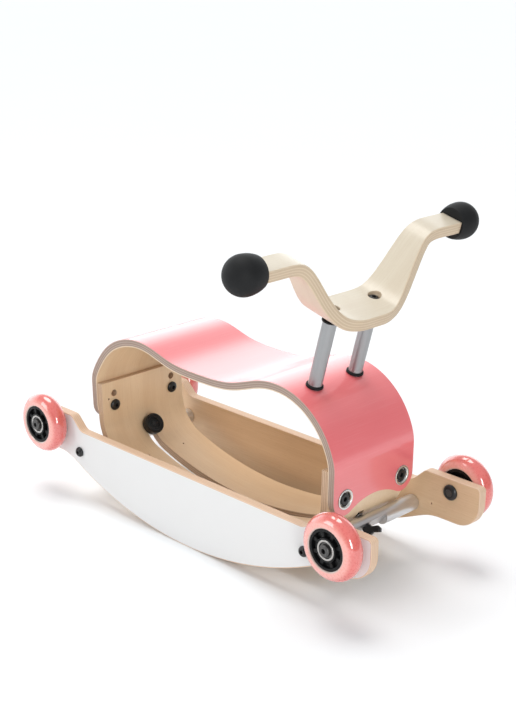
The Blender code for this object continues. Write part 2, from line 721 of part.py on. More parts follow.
def make_posts():
    under = handlebar_thick + gap
    for side, lead in ((1, "left"), (-1, "right")):
        y = side * post_y
        top = -under - 1.6 * mm - gap
        # The foot flange bears on the shell's hollow underside with its edge.
        foot = -post_drop - seat_thick - 2.2 * mm
        post = [(0, foot - 4.5 * mm), (10 * mm, foot - 4.5 * mm), (11 * mm, foot - 3.5 * mm),
                (11 * mm, foot - gap), (post_radius, foot - gap), (post_radius, top), (3.3 * mm, top),
                (3.3 * mm, top - 26 * mm), (0, top - 26 * mm)]
        obj = add_part(f"post_{lead}", lathe(post, 24), satin_aluminium)
        in_bar_frame(obj, (0, y, 0))
        washer = [(3.3 * mm, -under - 1.6 * mm), (9.2 * mm, -under - 1.6 * mm), (9.2 * mm, -under), (3.3 * mm, -under)]
        obj = add_part(f"post_washer_{lead}", lathe(washer, 20), black_plastic)
        in_bar_frame(obj, (0, y, 0))
        low = -post_drop + 0.7 * mm
        collar = [(post_radius + gap, low), (10 * mm, low), (10 * mm, low + 2 * mm), (9.4 * mm, low + 2.8 * mm),
                  (post_radius + gap, low + 2.8 * mm)]
        obj = add_part(f"post_collar_{lead}", lathe(collar, 24), black_rubber)
        in_bar_frame(obj, (0, y, 0))
        bolt = dome_bolt(6.7 * mm, 4.6 * mm, 3 * mm, 30 * mm, 2.6 * mm)
        obj = add_part(f"handlebar_bolt_{lead}", bolt, black_steel)
        in_bar_frame(obj, (0, y, -4.7 * mm))


def make_seat_bolts():
    depth = cradle_thick + gap + seat_thick
    for end, place in ((1, "front"), (-1, "rear")):
        bolt_z = front_bolt_z if end > 0 else rear_bolt_z
        face_x = plate_x(end, bolt_z, depth)
        for side, lead in ((1, "left"), (-1, "right")):
            point = (face_x, side * seat_bolt_y, bolt_z)
            cup = [(3.4 * mm, -5.9 * mm), (10.8 * mm, -5.9 * mm), (10.9 * mm, 0.5 * mm), (10.2 * mm, 0.9 * mm),
                   (8.6 * mm, 0.5 * mm), (7.4 * mm, -2.4 * mm), (7.4 * mm, -4.4 * mm), (3.4 * mm, -4.4 * mm)]
            add_part(f"seat_cup_{place}_{lead}", lathe(cup, 20), bright_steel, point, (end, 0, 0))
            inner = -abs(face_x - plate_x(end, bolt_z, 0)) - gap - 6.9 * mm * math.tan(rear_plate_tilt)
            # The bolt and the domed nut on the cradle's inner face are one body.
            bolt = [(0, inner - 3.4 * mm), (5 * mm, inner - 3.2 * mm), (6.9 * mm, inner - 1.8 * mm), (6.9 * mm, inner),
                    (3 * mm, inner), (3 * mm, -4.1 * mm), (6.5 * mm, -4.1 * mm), (6.5 * mm, -0.7 * mm),
                    (5.7 * mm, 0), (2.6 * mm, 0), (2.6 * mm, -3 * mm), (0, -3 * mm)]
            add_part(f"seat_bolt_{place}_{lead}", lathe(bolt, 16), black_steel, point, (end, 0, 0))


make_seat()
make_cradle()
make_panels()
make_cross_bars()
make_bar_bolts()
make_clamps()
make_wheels()
make_handlebar()
make_grips()
make_posts()
make_seat_bolts()
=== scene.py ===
import json
import math

import bmesh
import bpy
import numpy as np
from mathutils import Matrix, Vector


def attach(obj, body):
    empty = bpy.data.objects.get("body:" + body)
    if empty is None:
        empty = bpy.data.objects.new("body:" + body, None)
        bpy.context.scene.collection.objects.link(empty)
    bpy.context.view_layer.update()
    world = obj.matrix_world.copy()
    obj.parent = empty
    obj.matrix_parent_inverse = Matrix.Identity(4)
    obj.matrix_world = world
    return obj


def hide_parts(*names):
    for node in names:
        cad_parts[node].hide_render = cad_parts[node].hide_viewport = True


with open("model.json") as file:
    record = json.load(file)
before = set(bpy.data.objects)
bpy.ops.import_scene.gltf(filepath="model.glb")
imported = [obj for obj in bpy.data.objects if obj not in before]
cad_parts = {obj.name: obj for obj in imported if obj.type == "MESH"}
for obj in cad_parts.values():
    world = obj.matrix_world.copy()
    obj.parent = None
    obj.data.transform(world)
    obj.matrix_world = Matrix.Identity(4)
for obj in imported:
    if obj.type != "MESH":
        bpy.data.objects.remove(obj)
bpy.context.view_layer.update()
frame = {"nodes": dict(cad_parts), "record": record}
scene = bpy.context.scene
scene.view_settings.view_transform = "Standard"
mm = 0.001
up = Vector((0, 0, 1))
sides = {"left": 1, "right": -1}
ends = {"front": 1, "rear": -1}
boardThick = {"saddle": 9 * mm, "cradle": 8.8 * mm, "panel": 11.4 * mm, "handlebar": 13.2 * mm}
bodyOfNode = {node: body for body, nodes in frame["record"]["behaviour"]["bodies"].items() for node in nodes}
print("frame loaded,", len(frame["nodes"]), "solids")


# the camera

cameraValues = {
    "lens": 71.07,
    "azimuth": 44.55,
    "elevation": 18.69,
    "roll": 0.74,
    "place": (1.06882, -1.0646, 0.71283),
    "sensor": 36,
    "clip": (0.05, 100),
}


def makeCamera(values):
    azimuth, elevation, roll = (math.radians(values[name]) for name in ("azimuth", "elevation", "roll"))
    level = math.cos(elevation)
    back = Vector((math.sin(azimuth) * level, -math.cos(azimuth) * level, math.sin(elevation)))
    right = Vector((math.cos(azimuth), math.sin(azimuth), 0))
    rows = Matrix.Rotation(-roll, 3, "Z") @ Matrix((right, back.cross(right), back))
    data = bpy.data.cameras.new("camera")
    data.lens = values["lens"]
    data.sensor_width = values["sensor"]
    data.clip_start, data.clip_end = values["clip"]
    camera = bpy.data.objects.new("camera", data)
    scene.collection.objects.link(camera)
    camera.matrix_world = Matrix.Translation(values["place"]) @ rows.transposed().to_4x4()
    scene.camera = camera


makeCamera(cameraValues)
print("camera placed")


# shader sockets as Python values


class Amount:  # one output socket, which takes part in sums
    def __init__(self, finish, socket):
        self.finish, self.socket = finish, socket

    def sum(self, operation, first, second):
        return self.finish.calculate(operation, first, second)

    def __add__(self, other):
        return self.sum("ADD", self, other)

    def __radd__(self, other):
        return self.sum("ADD", other, self)

    def __sub__(self, other):
        return self.sum("SUBTRACT", self, other)

    def __rsub__(self, other):
        return self.sum("SUBTRACT", other, self)

    def __mul__(self, other):
        return self.sum("MULTIPLY", self, other)

    def __rmul__(self, other):
        return self.sum("MULTIPLY", other, self)

    def __pow__(self, other):
        return self.sum("POWER", self, other)


class Finish:  # one material and the nodes that make it
    def __init__(self, name, constants):
        self.material = bpy.data.materials.new(name)
        self.material.use_nodes = True
        self.nodes = self.material.node_tree.nodes
        self.links = self.material.node_tree.links
        self.shader = self.nodes["Principled BSDF"]
        self.object = self.node("ShaderNodeTexCoord", {}, {}, "Object")
        self.board = self.node("ShaderNodeUVMap", {"uv_map": "board"}, {})
        for socket, value in constants.items():
            self.feed(self.shader, socket, value)

    def feed(self, node, socket, value):
        if isinstance(value, Amount):
            self.links.new(value.socket, node.inputs[socket])
        elif isinstance(value, tuple) and node.inputs[socket].type == "RGBA":
            node.inputs[socket].default_value = (*value[:3], 1)
        else:
            node.inputs[socket].default_value = value

    def node(self, kind, settings, inputs, output=0):
        made = self.nodes.new(kind)
        for name, value in settings.items():
            setattr(made, name, value)
        for socket, value in inputs.items():
            self.feed(made, socket, value)
        return Amount(self, made.outputs[output])

    def calculate(self, operation, *values):
        return self.node("ShaderNodeMath", {"operation": operation}, dict(enumerate(values)))

    def noise(self, vector, scale, detail=2.0, roughness=0.5):
        inputs = {"Vector": vector, "Scale": scale, "Detail": detail, "Roughness": roughness}
        return self.node("ShaderNodeTexNoise", {}, inputs)

    def streaks(self, along, across, detail=2.0, roughness=0.5):
        return self.noise(self.vector(along, across), 1.0, detail, roughness)

    def axis(self, vector, index):
        return self.node("ShaderNodeSeparateXYZ", {}, {0: vector}, index)

    def vector(self, x, y):
        return self.node("ShaderNodeCombineXYZ", {}, {0: x, 1: y})

    def step(self, value, low, high):  # 0 below low, 1 above high, smooth between
        return self.node("ShaderNodeMapRange", {"interpolation_type": "SMOOTHSTEP"},
                         {"Value": value, "From Min": low, "From Max": high})

    def blend(self, share, first, second):
        return self.node("ShaderNodeMix", {"data_type": "RGBA"}, {0: share, 6: first, 7: second}, 2)

    def bump(self, height, distance):
        lifted = self.node("ShaderNodeBump", {}, {"Height": height, "Distance": distance, "Strength": 1.0})
        self.feed(self.shader, "Normal", lifted)

    def done(self, color, roughness, height, distance):
        self.feed(self.shader, "Base Color", color)
        self.feed(self.shader, "Roughness", roughness)
        self.bump(height, distance)
        return self.material


# finishes


def grainOf(finish, along, across, pitch=1.0):
    # streaks that are long one way: wide tones, fine lines and short dark pores
    wide = finish.streaks(along * 3.0, across * 34.0 * pitch, 3.0)
    fine = finish.streaks(along * 16.0, across * 620.0 * pitch, 2.0, 0.6)
    dots = finish.streaks(along * 120.0, across * 1500.0 * pitch, 1.0)
    return wide, fine, finish.step(dots, 0.63, 0.74)


birchTones = {
    "light": (0.83, 0.645, 0.44),
    "dark": (0.75, 0.545, 0.345),
    "pore": (0.6, 0.4, 0.23),
    "roughness": 0.36,
    "coat": 0.35,
}


def birchFinish(name, along, across, tones=birchTones):
    finish = Finish(name, {"Coat Weight": tones["coat"], "Coat Roughness": 0.26, "IOR": 1.48})
    where = {"length": finish.axis(finish.board, 0), "x": finish.axis(finish.object, 0),
             "y": finish.axis(finish.object, 1), "z": finish.axis(finish.object, 2)}
    wide, fine, pores = grainOf(finish, where[along], where[across])
    color = finish.blend(finish.step(wide * 0.65 + fine * 0.35, 0.3, 0.7), tones["dark"], tones["light"])
    color = finish.blend(pores * 0.4, color, tones["pore"])
    return finish.done(color, tones["roughness"] + 0.12 * fine, fine * 0.6 - pores, 0.00006)


plyTones = {
    "saddle": {"light": (0.54, 0.44, 0.37), "dark": (0.36, 0.26, 0.21), "glue": (0.24, 0.15, 0.12),
               "plies": 7, "film": (0.7, 0.3, 0.3), "veneer": (0.74, 0.59, 0.44)},
    "cradle": {"light": (0.74, 0.55, 0.38), "dark": (0.52, 0.35, 0.23), "glue": (0.34, 0.2, 0.12),
               "plies": 7},
    "panel": {"light": (0.78, 0.58, 0.42), "dark": (0.71, 0.5, 0.35), "glue": (0.62, 0.41, 0.28),
              "plies": 9},
    "handlebar": {"light": (0.7, 0.585, 0.44), "dark": (0.6, 0.47, 0.33), "glue": (0.48, 0.35, 0.23),
                  "plies": 9},
}


def plyFinish(board):
    # the board map gives the way along a board and the depth under its outer face, both in metres
    tones, thick = plyTones[board], boardThick[board]
    finish = Finish(board + "Ply", {"IOR": 1.45, "Coat Weight": 0.1, "Coat Roughness": 0.35})
    along = finish.axis(finish.board, 0)
    depth = finish.axis(finish.board, 1)
    waver = finish.streaks(along * 30.0, depth * 200.0)
    layer = (depth + (waver - 0.5) * (0.25 * mm)) * (tones["plies"] / thick)
    inLayer = finish.calculate("FRACT", layer)
    parity = finish.calculate("PINGPONG", layer - inLayer, 1.0)
    fibres = finish.streaks(along * 420.0, depth * 1800.0, 3.0, 0.7)
    endGrain = finish.streaks(along * 2600.0, depth * 2600.0, 2.0, 0.6)
    glue = 1 - finish.step(inLayer, 0.03, 0.13) * (1 - finish.step(inLayer, 0.87, 0.97))
    color = finish.blend(parity, finish.blend(fibres, tones["light"], tones["dark"]), tones["dark"])
    color = finish.blend(parity * endGrain * 0.5, color, tones["glue"])
    color = finish.blend(glue * 0.55, color, tones["glue"])
    if "film" in tones:  # the laminate's dyed line outside, and a pale veneer inside
        color = finish.blend(0.7 - 0.7 * finish.step(depth, 0.25 * mm, 0.5 * mm), color, tones["film"])
        inmost = finish.step(depth, thick - 1.5 * mm, thick - 1.2 * mm)
        color = finish.blend(inmost, color, tones["veneer"])
    return finish.done(color, 0.5 + 0.2 * fibres, fibres * 0.4 - glue, 0.00012)


laminateTones = {
    "base": (0.83, 0.16, 0.175),
    "light": (0.84, 0.178, 0.192),
    "pale": (0.87, 0.245, 0.26),
    "roughness": 0.36,
}


def laminateFinish(name, tones):
    finish = Finish(name, {"IOR": 1.55, "Coat Weight": 1.0, "Coat Roughness": 0.17, "Coat IOR": 1.6})
    length = finish.axis(finish.board, 0)
    across = finish.axis(finish.object, 1)
    wide, fine, pores = grainOf(finish, across, length, 0.8)
    scuffs = finish.step(finish.streaks(across * 40.0, length * 60.0, 3.0), 0.66, 0.8)
    color = finish.blend(finish.step(wide * 0.5 + fine * 0.5, 0.35, 0.7), tones["base"], tones["light"])
    color = finish.blend(finish.step(fine, 0.56, 0.75) * 0.2, color, tones["pale"])
    roughness = tones["roughness"] + 0.1 * fine + 0.08 * scuffs
    return finish.done(color, roughness, fine * 0.7 + wide * 0.3 - pores * 0.4, 0.000012)


whiteTones = {"base": (0.772, 0.765, 0.76), "shade": (0.752, 0.746, 0.742), "roughness": 0.4}


def whiteFinish(name, tones):
    finish = Finish(name, {"IOR": 1.5, "Coat Weight": 0.15, "Coat Roughness": 0.25})
    cloud = finish.noise(finish.object, 14.0, 3.0)
    peel = finish.noise(finish.object, 900.0, 2.0)
    color = finish.blend(cloud, tones["shade"], tones["base"])
    return finish.done(color, tones["roughness"] + 0.08 * peel, peel, 0.00002)


tyreTones = {
    "crown": (0.75, 0.135, 0.115),
    # the walls' paler tone is partly the frosted tyre's own and partly a painted reflection of the bright
    # floor
    "wall": (0.88, 0.36, 0.31),
    "core": (0.55, 0.42, 0.36),
}


def tyreFinish(name, tones):
    finish = Finish(name, {"IOR": 1.5, "Coat Weight": 1.0, "Coat Roughness": 0.01, "Coat IOR": 1.85})
    x, y = finish.axis(finish.object, 0), finish.axis(finish.object, 1)
    radius = (x * x + y * y) ** 0.5
    cloud = finish.noise(finish.object, 60.0, 3.0)
    wear = finish.noise(finish.object, 420.0, 4.0, 0.6)
    # the side walls are painted paler than the crown: partly the frosted tyre's own lighter tone, partly a
    # painted reflection of the bright floor
    color = finish.blend(finish.step(radius, 22.4 * mm, 25 * mm), tones["core"], tones["wall"])
    outward = radius + (cloud - 0.5) * (0.6 * mm)
    color = finish.blend(finish.step(outward, 27.5 * mm, 33.5 * mm), color, tones["crown"])
    return finish.done(color, 0.22 + 0.12 * wear, cloud, 0.000002)


blackTones = {  # tone, roughness, grains a metre, depth of the grain, shine
    "wheelPlastic": ((0.004, 0.0042, 0.0045), 0.36, 1600.0, 0.00001, 0.22),
    "clampPlastic": ((0.006, 0.006, 0.0062), 0.42, 1400.0, 0.00003, 0.35),
    "gripRubber": ((0.007, 0.0074, 0.008), 0.62, 1300.0, 0.00006, 0.25),
    "blackScrew": ((0.008, 0.008, 0.0085), 0.32, 1100.0, 0.00001, 0.5),
}


def blackFinish(name, tone, roughness, grain, depth, shine):
    # moulded or rubbery black with a fine grain
    finish = Finish(name, {"IOR": 1.48, "Specular IOR Level": shine})
    pebble = finish.noise(finish.object, grain, 3.0, 0.6)
    cloud = finish.noise(finish.object, 90.0, 2.0)
    color = finish.blend(cloud, tone, tuple(value * 1.5 for value in tone))
    return finish.done(color, roughness + 0.18 * (pebble - 0.5), pebble, depth)


metalTones = {  # tone, roughness, whether the piece is turned
    "greyScrew": ((0.12, 0.117, 0.115), 0.42, True),
    "brightSteel": ((0.78, 0.77, 0.74), 0.22, True),
    "bearingSteel": ((0.5, 0.48, 0.46), 0.2, True),
    "satinTube": ((0.74, 0.74, 0.75), 0.36, False),
    "postTube": ((0.37, 0.372, 0.378), 0.34, False),
}
metalLines = 2600.0  # fine lines a metre


def metalFinish(name, tone, roughness, turning):
    # the lines run round a turned piece, or along a drawn tube, whose axis is Z
    finish = Finish(name, {"Metallic": 1.0})
    x, y, z = (finish.axis(finish.object, index) for index in range(3))
    if turning:
        radius = (x * x + y * y) ** 0.5
        brushed = finish.streaks(radius * metalLines, z * metalLines, 3.0, 0.6)
    else:
        angle = finish.calculate("ARCTAN2", y, x)
        brushed = finish.streaks(angle * (metalLines * 0.008), z * 12.0, 3.0, 0.6)
    smear = finish.noise(finish.object, 120.0, 3.0)
    color = finish.blend(brushed, tuple(value * 0.88 for value in tone), tone)
    return finish.done(color, roughness + 0.14 * (brushed - 0.5) + 0.06 * smear, brushed, 0.00001)


palePanelTones = {
    "light": (0.74, 0.53, 0.335),
    "dark": (0.65, 0.44, 0.265),
    "pore": (0.5, 0.31, 0.17),
    "roughness": 0.45,
    "coat": 0.1,
}
handlebarTones = {
    "light": (0.67, 0.6, 0.48),
    "dark": (0.61, 0.525, 0.405),
    "pore": (0.52, 0.41, 0.29),
    "roughness": 0.38,
    "coat": 0.4,
}
finishes = {
    "pinkLaminate": laminateFinish("pinkLaminate", laminateTones),
    "saddleInside": birchFinish("saddleInside", "length", "y"),
    "saddlePly": plyFinish("saddle"),
    "cradleBirch": birchFinish("cradleBirch", "length", "y"),
    "cradlePly": plyFinish("cradle"),
    "panelWhite": whiteFinish("panelWhite", whiteTones),
    "panelBirch": birchFinish("panelBirch", "x", "z", palePanelTones),
    "panelPly": plyFinish("panel"),
    "handlebarBirch": birchFinish("handlebarBirch", "length", "x", handlebarTones),
    "handlebarPly": plyFinish("handlebar"),
    "coralTyre": tyreFinish("coralTyre", tyreTones),
}
finishes.update({name: blackFinish(name, *values) for name, values in blackTones.items()})
finishes.update({name: metalFinish(name, *values) for name, values in metalTones.items()})
print("finishes made,", len(finishes))


# shapes, each a list of points and a list of faces


def inMm(rows, base=0):
    # rows of radius, height and softness, given in millimetres over a base in metres
    return [(radius * mm, base + height * mm, *(value * mm for value in soft))
            for radius, height, *soft in rows]


def ease(share):
    share = min(1, max(0, share))
    return share * share * (3 - 2 * share)


def softCorners(profile, steps=4):
    # a corner given as (radius, height, softness) turns into a short curve; a profile off the axis is a ring
    closed = profile[0][0] != 0
    points = []
    for index, (radius, height, *soft) in enumerate(profile):
        here = Vector((radius, height))
        if not soft or (not closed and index in (0, len(profile) - 1)):
            points.append((radius, height))
            continue
        before = Vector(profile[index - 1][:2]) - here
        after = Vector(profile[(index + 1) % len(profile)][:2]) - here
        reach = min(soft[0], 0.48 * before.length, 0.48 * after.length)
        start, end = here + before.normalized() * reach, here + after.normalized() * reach
        for step in range(steps + 1):
            t = step / steps
            points.append(tuple((1 - t) ** 2 * start + 2 * t * (1 - t) * here + t * t * end))
    return points


def turned(profile, steps=64, hexagon=0.0, lift=None):
    # turned about Z; rows no wider than the hexagon's radius get six sides, and lift gives a point's rise
    rows = softCorners(profile)
    capped = profile[0][0] == 0
    middle = rows[1:-1] if capped else rows
    points, faces = [], []
    for radius, height in middle:
        for step in range(steps):
            angle = math.tau * step / steps
            reach = radius
            if 0 < radius <= hexagon * 1.001:
                reach = radius / math.cos((angle + math.pi / 6) % (math.pi / 3) - math.pi / 6)
            rise = lift(radius, height, angle) if lift else 0
            points.append(Vector((reach * math.cos(angle), reach * math.sin(angle), height + rise)))
    for row in range(len(middle) - 1 if capped else len(middle)):
        below, above = row * steps, (row + 1) % len(middle) * steps
        for step in range(steps):
            after = (step + 1) % steps
            faces.append((below + step, below + after, above + after, above + step))
    if capped:
        points += [Vector((0, 0, rows[0][1])), Vector((0, 0, rows[-1][1]))]
        top = (len(middle) - 1) * steps
        for step in range(steps):
            after = (step + 1) % steps
            faces.append((len(points) - 2, after, step))
            faces.append((len(points) - 1, top + step, top + after))
    return points, faces


def rod(radius, low, high, steps=48):
    return turned([(0, low), (radius, low), (radius, high), (0, high)], steps)


def throughRings(rings):
    # a closed solid through rings of equal count
    count = len(rings[0])
    points = [Vector(point) for ring in rings for point in ring]
    faces = [tuple(range(count))[::-1], tuple(range(len(points) - count, len(points)))]
    for start in range(0, len(points) - count, count):
        for index in range(count):
            after = (index + 1) % count
            faces.append((start + index, start + after, start + count + after, start + count + index))
    return points, faces


def block(low, high):
    corners = [(low[0], low[1]), (high[0], low[1]), (high[0], high[1]), (low[0], high[1])]
    return throughRings([[(x, y, z) for x, y in corners] for z in (low[2], high[2])])


def board(rows, columns, place):
    # place(row, column, face) is a point of the outer face, 0, or the inner one, 1
    places = [(row, column, face) for face in (0, 1) for row in range(rows) for column in range(columns)]
    points = [Vector(place(*where)) for where in places]

    def at(row, column, face):
        return (face * rows + row) * columns + column

    faces = []
    for row in range(rows - 1):
        for column in range(columns - 1):
            for face in (0, 1):
                faces.append((at(row, column, face), at(row, column + 1, face),
                              at(row + 1, column + 1, face), at(row + 1, column, face)))
        for column in (0, columns - 1):
            faces.append((at(row, column, 0), at(row + 1, column, 0),
                          at(row + 1, column, 1), at(row, column, 1)))
    for column in range(columns - 1):
        for row in (0, rows - 1):
            faces.append((at(row, column, 0), at(row, column + 1, 0),
                          at(row, column + 1, 1), at(row, column, 1)))
    return points, faces


def pointing(place, direction):
    turn = Vector(direction).to_track_quat("Z", "Y").to_matrix().to_4x4()
    return Matrix.Translation(Vector(place)) @ turn


def moved(shape, place, direction=up):
    matrix = pointing(place, direction)
    return [matrix @ point for point in shape[0]], shape[1]


def together(shapes):
    points, faces = [], []
    for more, moreFaces in shapes:
        faces += [tuple(index + len(points) for index in face) for face in moreFaces]
        points += more
    return points, faces


# curves in one plane


def smoothCurve(knots, startWay, endWay, perSpan):
    knots = np.array(knots)
    chord = np.linalg.norm(np.diff(knots, axis=0), axis=1)
    count = len(knots)
    system, right = np.eye(count), np.zeros((count, 2))
    right[0], right[-1] = startWay, endWay
    for index in range(1, count - 1):
        before, after = chord[index - 1], chord[index]
        system[index, index - 1 : index + 2] = (after, 2 * (before + after), before)
        fall = after * (knots[index] - knots[index - 1]) / before
        right[index] = 3 * (fall + before * (knots[index + 1] - knots[index]) / after)
    ways = np.linalg.solve(system, right)
    points = []
    for index in range(count - 1):
        for t in np.arange(perSpan) / perSpan:
            held = (1 + 2 * t) * (1 - t) ** 2 * knots[index] + t * t * (3 - 2 * t) * knots[index + 1]
            turns = t * (1 - t) ** 2 * ways[index] + t * t * (t - 1) * ways[index + 1]
            points.append(tuple(held + chord[index] * turns))
    points.append(tuple(knots[-1]))
    return points


def unitSlopes(line):
    slope = np.gradient(line, axis=0)
    return slope / np.linalg.norm(slope, axis=1)[:, None]


def beside(points, distance):
    # the curve moved to the right of its own direction
    line = np.array(points)
    slope = unitSlopes(line)
    return [tuple(point) for point in line + distance * np.stack([slope[:, 1], -slope[:, 0]], axis=1)]


def arcWalk(start, heading, pieces):
    points, headings = [start], [heading]
    for length, turn, steps in pieces:
        for _ in range(steps):
            middle = heading + turn / steps / 2
            x, z = points[-1]
            points.append((x + length / steps * math.cos(middle), z + length / steps * math.sin(middle)))
            heading += turn / steps
            headings.append(heading)
    return points, headings


# pieces

sharpAngle = math.radians(32)
faceMargin = 0.15 * mm  # how far a face may lie from its board's surface


def makePiece(name, shape, materials, place=None):
    mesh = bpy.data.meshes.new(name)
    mesh.from_pydata(shape[0], [], shape[1])
    work = bmesh.new()
    work.from_mesh(mesh)
    bmesh.ops.recalc_face_normals(work, faces=work.faces)
    work.to_mesh(mesh)
    work.free()
    piece = bpy.data.objects.new(name, mesh)
    scene.collection.objects.link(piece)
    for material in materials:
        mesh.materials.append(finishes[material])
    mesh.shade_smooth()
    mesh.set_sharp_from_angle(angle=sharpAngle)
    if place is not None:
        piece.matrix_world = place
    return piece


def settle(piece):
    # the mesh as its modifiers leave it
    graph = bpy.context.evaluated_depsgraph_get()
    old, shown = piece.data, piece.evaluated_get(graph)
    piece.data = bpy.data.meshes.new_from_object(shown, preserve_all_data_layers=True, depsgraph=graph)
    piece.modifiers.clear()
    bpy.data.meshes.remove(old)


def roundEdges(piece, width, segments=3, angle=50):
    bevel = piece.modifiers.new("edges", "BEVEL")
    bevel.width, bevel.segments = width, segments
    bevel.limit_method, bevel.angle_limit = "ANGLE", math.radians(angle)
    settle(piece)


def cutFrom(piece, shapes):
    cutter = makePiece(piece.name + "Cutter", together(shapes), [])
    cutter.matrix_world = piece.matrix_world
    cut = piece.modifiers.new("cut", "BOOLEAN")
    cut.operation, cut.solver, cut.use_self, cut.object = "DIFFERENCE", "EXACT", True, cutter
    settle(piece)
    bpy.data.objects.remove(cutter)


def evenShading(piece):
    piece.data.set_sharp_from_angle(angle=sharpAngle)
    piece.modifiers.new("weights", "WEIGHTED_NORMAL").keep_sharp = True
    settle(piece)


def fit(piece, *nodes):
    # stands for its CAD solids and rides with them
    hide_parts(*nodes)
    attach(piece, bodyOfNode[nodes[0]])


def fitTurned(node, material, profile, place, steps=72, **shape):
    first, *rest = node.split("_")
    name = first + "".join(word.title() for word in rest)
    fit(makePiece(name, turned(profile, steps, **shape), [material], place), node)


def readArray(items, field, width, kind=np.float32):
    values = np.empty(len(items) * width, kind)
    items.foreach_get(field, values)
    return values.reshape(-1, width)


def markBoard(mesh, outer, inner, length, depth):
    # three materials by face, and the board map from what each vertex measures
    mesh.polygons.foreach_set("material_index", np.where(outer, 0, np.where(inner, 1, 2)).astype(np.int32))
    loopVertex = readArray(mesh.loops, "vertex_index", 1, np.int32)[:, 0]
    flat = np.stack([length, depth], axis=1)[loopVertex]
    mesh.uv_layers.new(name="board").uv.foreach_set("vector", flat.astype(np.float32).ravel())
    return loopVertex


def layUp(piece, curve, thick, section):
    # marks a bent board's outer face, inner face and edges, lays its board map and evens its shading
    mesh = piece.data
    line = np.array(curve)
    way = np.concatenate([[0], np.cumsum(np.linalg.norm(np.diff(line, axis=0), axis=1))])
    slope = unitSlopes(line)
    fine = np.arange(0, way[-1], 0.5 * mm)
    curvePoints = np.stack([np.interp(fine, way, line[:, k]) for k in (0, 1)], axis=1)
    tangents = np.stack([np.interp(fine, way, slope[:, k]) for k in (0, 1)], axis=1)
    tangents /= np.linalg.norm(tangents, axis=1)[:, None]
    outward = np.stack([-tangents[:, 1], tangents[:, 0]], axis=1)

    def measured(places):
        flat = places[:, section]
        nearest = np.concatenate([((part[:, None] - curvePoints[None]) ** 2).sum(2).argmin(1)
                                  for part in np.array_split(flat, max(1, len(flat) // 2000))])
        away = flat - curvePoints[nearest]
        depth = -(away * outward[nearest]).sum(1)
        length = fine[nearest] + (away * tangents[nearest]).sum(1)
        normal = np.zeros((len(flat), 3))
        normal[:, section] = outward[nearest]
        return length, depth, normal

    length, depth, normal = measured(readArray(mesh.vertices, "co", 3))
    _, faceDepth, faceOut = measured(readArray(mesh.polygons, "center", 3))
    faceNormal = readArray(mesh.polygons, "normal", 3)
    facing = (faceNormal * faceOut).sum(1)
    outer = (facing > 0.9) & (faceDepth < faceMargin)
    inner = (facing < -0.9) & (faceDepth > thick - faceMargin)
    loopVertex = markBoard(mesh, outer, inner, length, depth)
    counts = readArray(mesh.polygons, "loop_total", 1, np.int32)[:, 0]
    loopFace = np.repeat(np.arange(len(counts)), counts)
    side = np.zeros(len(mesh.vertices))
    side[loopVertex[outer[loopFace]]] = 1
    side[loopVertex[inner[loopFace]]] = -1
    wanted = normal[loopVertex] * side[loopVertex][:, None]
    near = (wanted * faceNormal[loopFace]).sum(1) > 0.5
    mesh.set_sharp_from_angle(angle=math.radians(40))
    mesh.normals_split_custom_set((wanted * near[:, None]).tolist())


# the cradle's path, which its neighbours share

cradleValues = {
    "halfWidth": 64.4 * mm,
    "thick": boardThick["cradle"],
    "floorZ": 27.8 * mm,
    "floorRadius": 430 * mm,
    "bendRadius": 50 * mm,
    "bendX": {1: 128 * mm, -1: 126 * mm},
    "tilt": {1: 0.0, -1: math.radians(3)},
    "plateTopZ": 138.5 * mm,
    "slotHalfWidth": 6 * mm,
    "pilot": 1.3 * mm,
    "edge": 1.1 * mm,
}
boltValues = {
    "z": {1: 105.4 * mm, -1: 108.9 * mm},
    "y": 46 * mm,
    "hole": 3.4 * mm,
    "spare": 4.2 * mm,
    "spareRise": 14.5 * mm,
}


def halfCradle(side, values):
    bendX, tilt = values["bendX"][side], values["tilt"][side]
    floorRadius, bendRadius = values["floorRadius"], values["bendRadius"]
    sweep = math.asin(bendX / (floorRadius - bendRadius))
    turn = math.pi / 2 - tilt - sweep
    centreZ = values["floorZ"] + floorRadius - (floorRadius - bendRadius) * math.cos(sweep)
    rise = (values["plateTopZ"] - centreZ + bendRadius * math.cos(sweep + turn)) / math.cos(tilt)
    pieces = [(floorRadius * sweep, sweep, 27), (bendRadius * turn, turn, 30), (rise, 0, 6)]
    points, headings = arcWalk((0, values["floorZ"]), 0, pieces)
    return points, headings, Vector((side * bendX, 0, centreZ))


cradleHalves = {side: halfCradle(side, cradleValues) for side in (1, -1)}


def cradleFace(depth):
    halves = []
    for side in (-1, 1):
        points, headings, _ = cradleHalves[side]
        halves.append([(side * (x + depth * math.sin(turn)), z - depth * math.cos(turn))
                       for (x, z), turn in zip(points, headings)])
    return halves[0][::-1] + halves[1][1:]


def plateX(side, z, depth):
    topX, topZ = cradleHalves[side][0][-1]
    tilt = cradleValues["tilt"][side]
    return side * (topX - (topZ - z) * math.tan(tilt) + depth / math.cos(tilt))


barValues = {
    "x": 184 * mm,
    "z": 58.4 * mm,
    "radius": 9.25 * mm,
    "half": 82.9 * mm,
    "flatHalf": 28 * mm,
    "flatRise": 3.2 * mm,
    "bore": 3.3 * mm,
    "boltY": 94.9 * mm,
}


def clampLine(side):
    # the bend's centre, the bar's centre and the way from one to the other
    bend, bar = cradleHalves[side][2], Vector((side * barValues["x"], 0, barValues["z"]))
    return bend, bar, (bar - bend).normalized()


